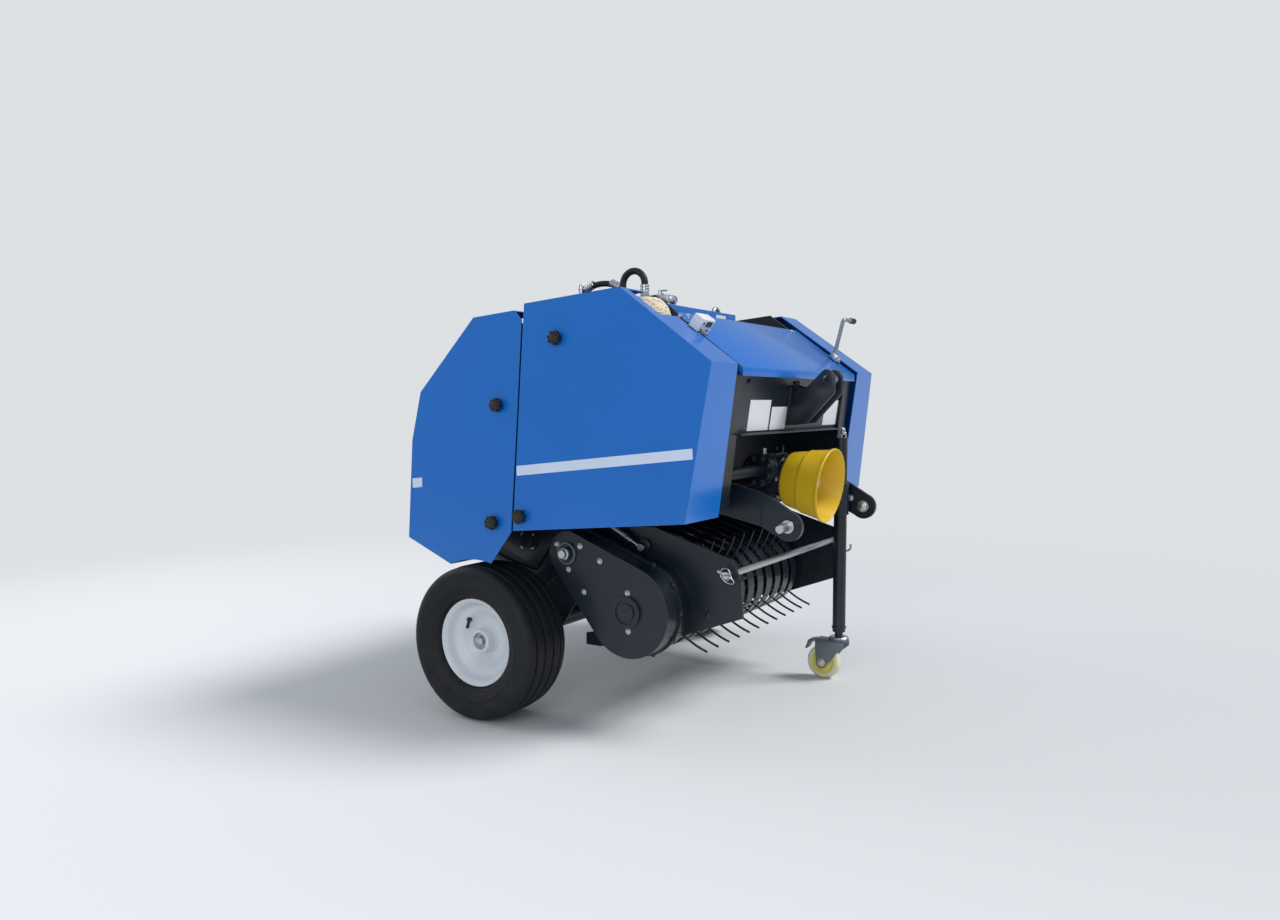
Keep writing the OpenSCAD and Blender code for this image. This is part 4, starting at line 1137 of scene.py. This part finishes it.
# Rubber strips inside the tailgate's walls close the gap to the gussets
EDGE_STRIP = ((98, 508), (2, 376), (-180, 446), (-190, 412), (0, 340), (18, 345), (121, 492))
STRIP_OUT = WALL_IN - 0.2
belongs(joined("tailgate_edge_strips", uprights(plate("strip", EDGE_STRIP, 3), 3 - STRIP_OUT, STRIP_OUT)),
        "tailgate", HOSE)


# Rear cover: button heads along both edges

button_head = turned("button_head", [(0, 0), (8, 0), (8, 0.7), (6.2, 0.9), (6, 1.8), (4.6, 2.8), (2, 3.1),
                                     (0, 3.2)], steps=28)
for name, toward, x, heights in (("low", (-1, 0, -0.02), -380, (490,)),
                                 ("mid", (-0.75, 0, 0.66), -150, (950, 1070))):
    fastened(f"rear_cover_screws_{name}", "tailgate", button_head, "rear_cover",
             [(x, y, z) for y in (-335, 335) for z in heights], toward)
drop(button_head)


# Tailgate cylinders: gland and ports

FOOT = (330, 690)
EYE = (0, 885)
CYLINDER_Y = 388
cylinder_way = Vector((EYE[0] - FOOT[0], 0, EYE[1] - FOOT[1])).normalized()
for side_name, sign in SIDES.items():
    foot = at(FOOT[0], sign * CYLINDER_Y, FOOT[1])
    gland = turned("gland", [(14, 281), (24, 281), (24.6, 282), (24.6, 284.5), (21, 285), (21, 288),
                             (19, 289.5), (14, 289.5)], steps=40)
    stand(gland, foot, cylinder_way)
    ports = []
    for along in (52, 262):
        port = joined("port", [drum("boss", 10, 6, sides=28), drum("nut", 10, 8, sides=6, low=5),
                               drum("pipe", 6, 18, sides=24, low=10)])
        ports.append(stand(port, foot + cylinder_way * along / 1000 + Vector((0, 0, 0.0235)), (0.3, 0, 1)))
    belongs(joined(f"cylinder_fittings_{side_name}", [gland] + ports), f"cylinder_{side_name}")


# Parking leg and castor

collar = turned("collar", [(19.1, 0), (21, 0), (21.4, 0.6), (21.4, 4.6), (21, 5), (19.1, 5)])
belongs(stand(collar, at(*LEG, 157), UP), "leg", DARK)
rim = turned("rim", [(19.3, 0), (24.6, 0), (25, 0.6), (25, 3.4), (24.4, 4), (19.3, 4)])
belongs(scattered("sleeve_rims", rim, [(at(*LEG, z), UP, 0.0) for z in (498, 588)]), "frame", DARK)
drop(rim)


def lock_pin():
    """Spring-loaded pin of the leg's sleeve, with its pull ring."""
    place = at(LEG[0], LEG[1] - 22, 545)
    body = turned("body", [(0, 0), (9.4, 0), (9.4, 12), (7.6, 13), (7.4, 20), (3.6, 20), (3.6, 24), (5, 25),
                           (5, 28), (0, 28)], steps=28)
    stand(body, place, RIGHT)
    ring = [place + Vector((12 * cos(a), -26.5, 12 * sin(a) - 11)) / 1000 for a in turns(16)]
    belongs(joined("lock_pin", [body, tube("pull", ring, 1.3, loop=True, resolution=3)]))


lock_pin()

CASTOR_W = 32
CROWN_Z = 110


def castor():
    """Castor: a pressed fork with crown, foot pedal and raceway, and a wheel of two plastics on its bolt."""
    axle_x, axle_z = CASTOR_AXLE
    outline = [(axle_x - 21, CROWN_Z + 7), (axle_x - 21, CROWN_Z - 4)] + arc(CASTOR_AXLE, 17, 192, 340)
    outline += [(LEG[0] + 3, CROWN_Z - 26), (LEG[0] + 24, CROWN_Z - 8), (LEG[0] + 24, CROWN_Z + 7)]
    inner = CASTOR_W / 2 + 5
    outer = inner + 4
    parts = uprights(plate("cheek", outline, 4), LEG[1] - inner, LEG[1] + outer)
    rear = [(axle_x - 21, LEG[1] + outer), (axle_x - 21, LEG[1] - outer)]
    crown = plate("crown", arc(LEG, 26, -62, 62, 12) + rear, 5, edge=1.4)
    parts.append(lay(crown, at(0, 0, CROWN_Z + 4), AHEAD, UP))
    boss = turned("boss", [(0, 114), (24, 114), (27, 117), (28, 119), (30, 120.5), (30, 125), (29, 126.5),
                           (0, 126.5)], steps=56)
    parts.append(stand(boss, at(*LEG, 0), UP))
    bends = ((18, 9), (18, 4), (40, -6), (51, -26), (56, -25), (47, 1), (40, 5))
    pedal = [(axle_x - back, CROWN_Z + up) for back, up in bends]
    parts.append(upright(plate("pedal", pedal, CASTOR_W, edge=1.6), LEG[1] + CASTOR_W / 2))
    belongs(joined("castor_fork_pressed", parts), "castor", DULL_ZINC,
            instead_of=["castor_fork"])
    race = turned("race", [(0, 126), (26, 126), (28, 127), (28, 129), (26, 131.4), (0, 131.4)], steps=56)
    belongs(stand(race, at(*LEG, 0), UP), "castor")
    ends = []
    for sign in (-1, 1):
        end = joined("end", [drum("washer", 10, 1.6, sides=28, edge=0.4),
                             drum("nut", 8.6, 5.6, sides=6, low=1.4)])
        ends.append(stand(end, at(axle_x, LEG[1] + sign * outer, axle_z), (0, sign, 0)))
    belongs(joined("castor_axle_ends", ends), "castor")

    middle = at(axle_x, LEG[1], axle_z)
    half_tread = [(36, -15), (44, -14.6), (48, -11.5), (49.6, -8), (50, -4)]
    half_core = [(6, -25.8), (11, -25.8), (12, -25), (12.5, -15.6), (20, -13.5), (30, -12.6), (34, -14.6),
                 (36.4, -14.8)]
    tread = turned("castor_tread", there_and_back(half_tread), steps=72)
    core = turned("castor_core", there_and_back(half_core), steps=56)
    belongs(stand(tread, middle, RIGHT), "castor_roll", CREAM, instead_of=["castor_wheel"])
    belongs(stand(core, middle, RIGHT), "castor_roll", YELLOW_CORE)


castor()

drop(BOLT_8, BOLT_6, NUT_8)


# Camera at the photograph's place, from its measured position and angles

CAMERA_PLACE = at(1681, -2478, 832)
CAMERA_YAW = radians(32.05)
CAMERA_PITCH = radians(3.48)
CAMERA_LENS = 27.04

back = Vector((sin(CAMERA_YAW) * cos(CAMERA_PITCH), -cos(CAMERA_YAW) * cos(CAMERA_PITCH),
               sin(CAMERA_PITCH)))
start()
bpy.ops.object.camera_add(location=CAMERA_PLACE)
camera = bpy.context.active_object
camera.rotation_mode = "QUATERNION"
camera.rotation_quaternion = (-back).to_track_quat("-Z", "Y")
camera.data.lens = CAMERA_LENS
camera.data.sensor_width = 36
camera.data.clip_end = 200
bpy.context.scene.camera = camera


# Floor, world and lamps

BACKDROP = "#E6E9EC"
BACKDROP_STRENGTH = 0.92


def seen_by(tree, *kinds):
    """1 for these kinds of ray and 0 for the others."""
    rays = add(tree, "LightPath")
    return add(tree, "Math", {"operation": "MAXIMUM"}, dict(enumerate(rays[kind] for kind in kinds)))[0]


def floor_finish():
    """Pale studio floor that runs into the backdrop's own tone from a few metres out, with no horizon."""
    mat, tree, where = fresh("studio_floor")
    reach = add(tree, "VectorMath", {"operation": "LENGTH"}, {0: where})["Value"]
    away = ranged(tree, reach, 1.5, 4.2, how="SMOOTHSTEP")
    seen = seen_by(tree, "Is Camera Ray", "Is Glossy Ray")
    part = add(tree, "Math", {"operation": "MULTIPLY"}, {0: seen, 1: away})[0]
    ground = add(tree, "BsdfPrincipled", {"Base Color": linear("#D3D4D5"), "Roughness": 0.8,
                                          "Specular IOR Level": 0.1})[0]
    glow = add(tree, "Emission", {"Color": linear(BACKDROP), "Strength": BACKDROP_STRENGTH})[0]
    mixed = add(tree, "MixShader", {}, {0: part, 1: ground, 2: glow})[0]
    return with_surface(mat, mixed)


start()
bpy.ops.mesh.primitive_plane_add(size=60, location=(0, 0, 0))
floor = named("studio_floor")
dress(floor, floor_finish())

world = bpy.data.worlds.new("studio")
bpy.context.scene.world = world
world.use_nodes = True
sky = world.node_tree
sky.nodes.clear()
fill = add(sky, "Background", {"Color": linear("#DDE6F2"), "Strength": 0.5})[0]
backdrop = add(sky, "Background", {"Color": linear(BACKDROP), "Strength": BACKDROP_STRENGTH})[0]
seen = seen_by(sky, "Is Camera Ray", "Is Transmission Ray")
mixed = add(sky, "MixShader", {}, {0: seen, 1: fill, 2: backdrop})[0]
add(sky, "OutputWorld", {}, {"Surface": mixed})


def lamp(name, kind, place, way, **settings):
    """A lamp at a place that shines along a way, both in metres."""
    start()
    bpy.ops.object.light_add(type=kind, location=place)
    light = bpy.context.active_object
    light.name = name
    for key, value in settings.items():
        setattr(light.data, key, value)
    light.rotation_mode = "QUATERNION"
    light.rotation_quaternion = Vector(way).to_track_quat("-Z", "Y")


lamp("key", "SUN", (3.0, 1.8, 4.0), (-0.58, -0.33, -0.75), angle=radians(22), energy=2.7)
lamp("near_fill", "AREA", (1.2, -4.6, 2.2), (-1.2, 4.6, -1.7), size=3.0, energy=60)
lamp("rear_fill", "AREA", (-3.8, -0.6, 2.6), (3.8, 0.6, -2.0), size=2.5, energy=45)

bpy.context.scene.view_settings.view_transform = "Standard"
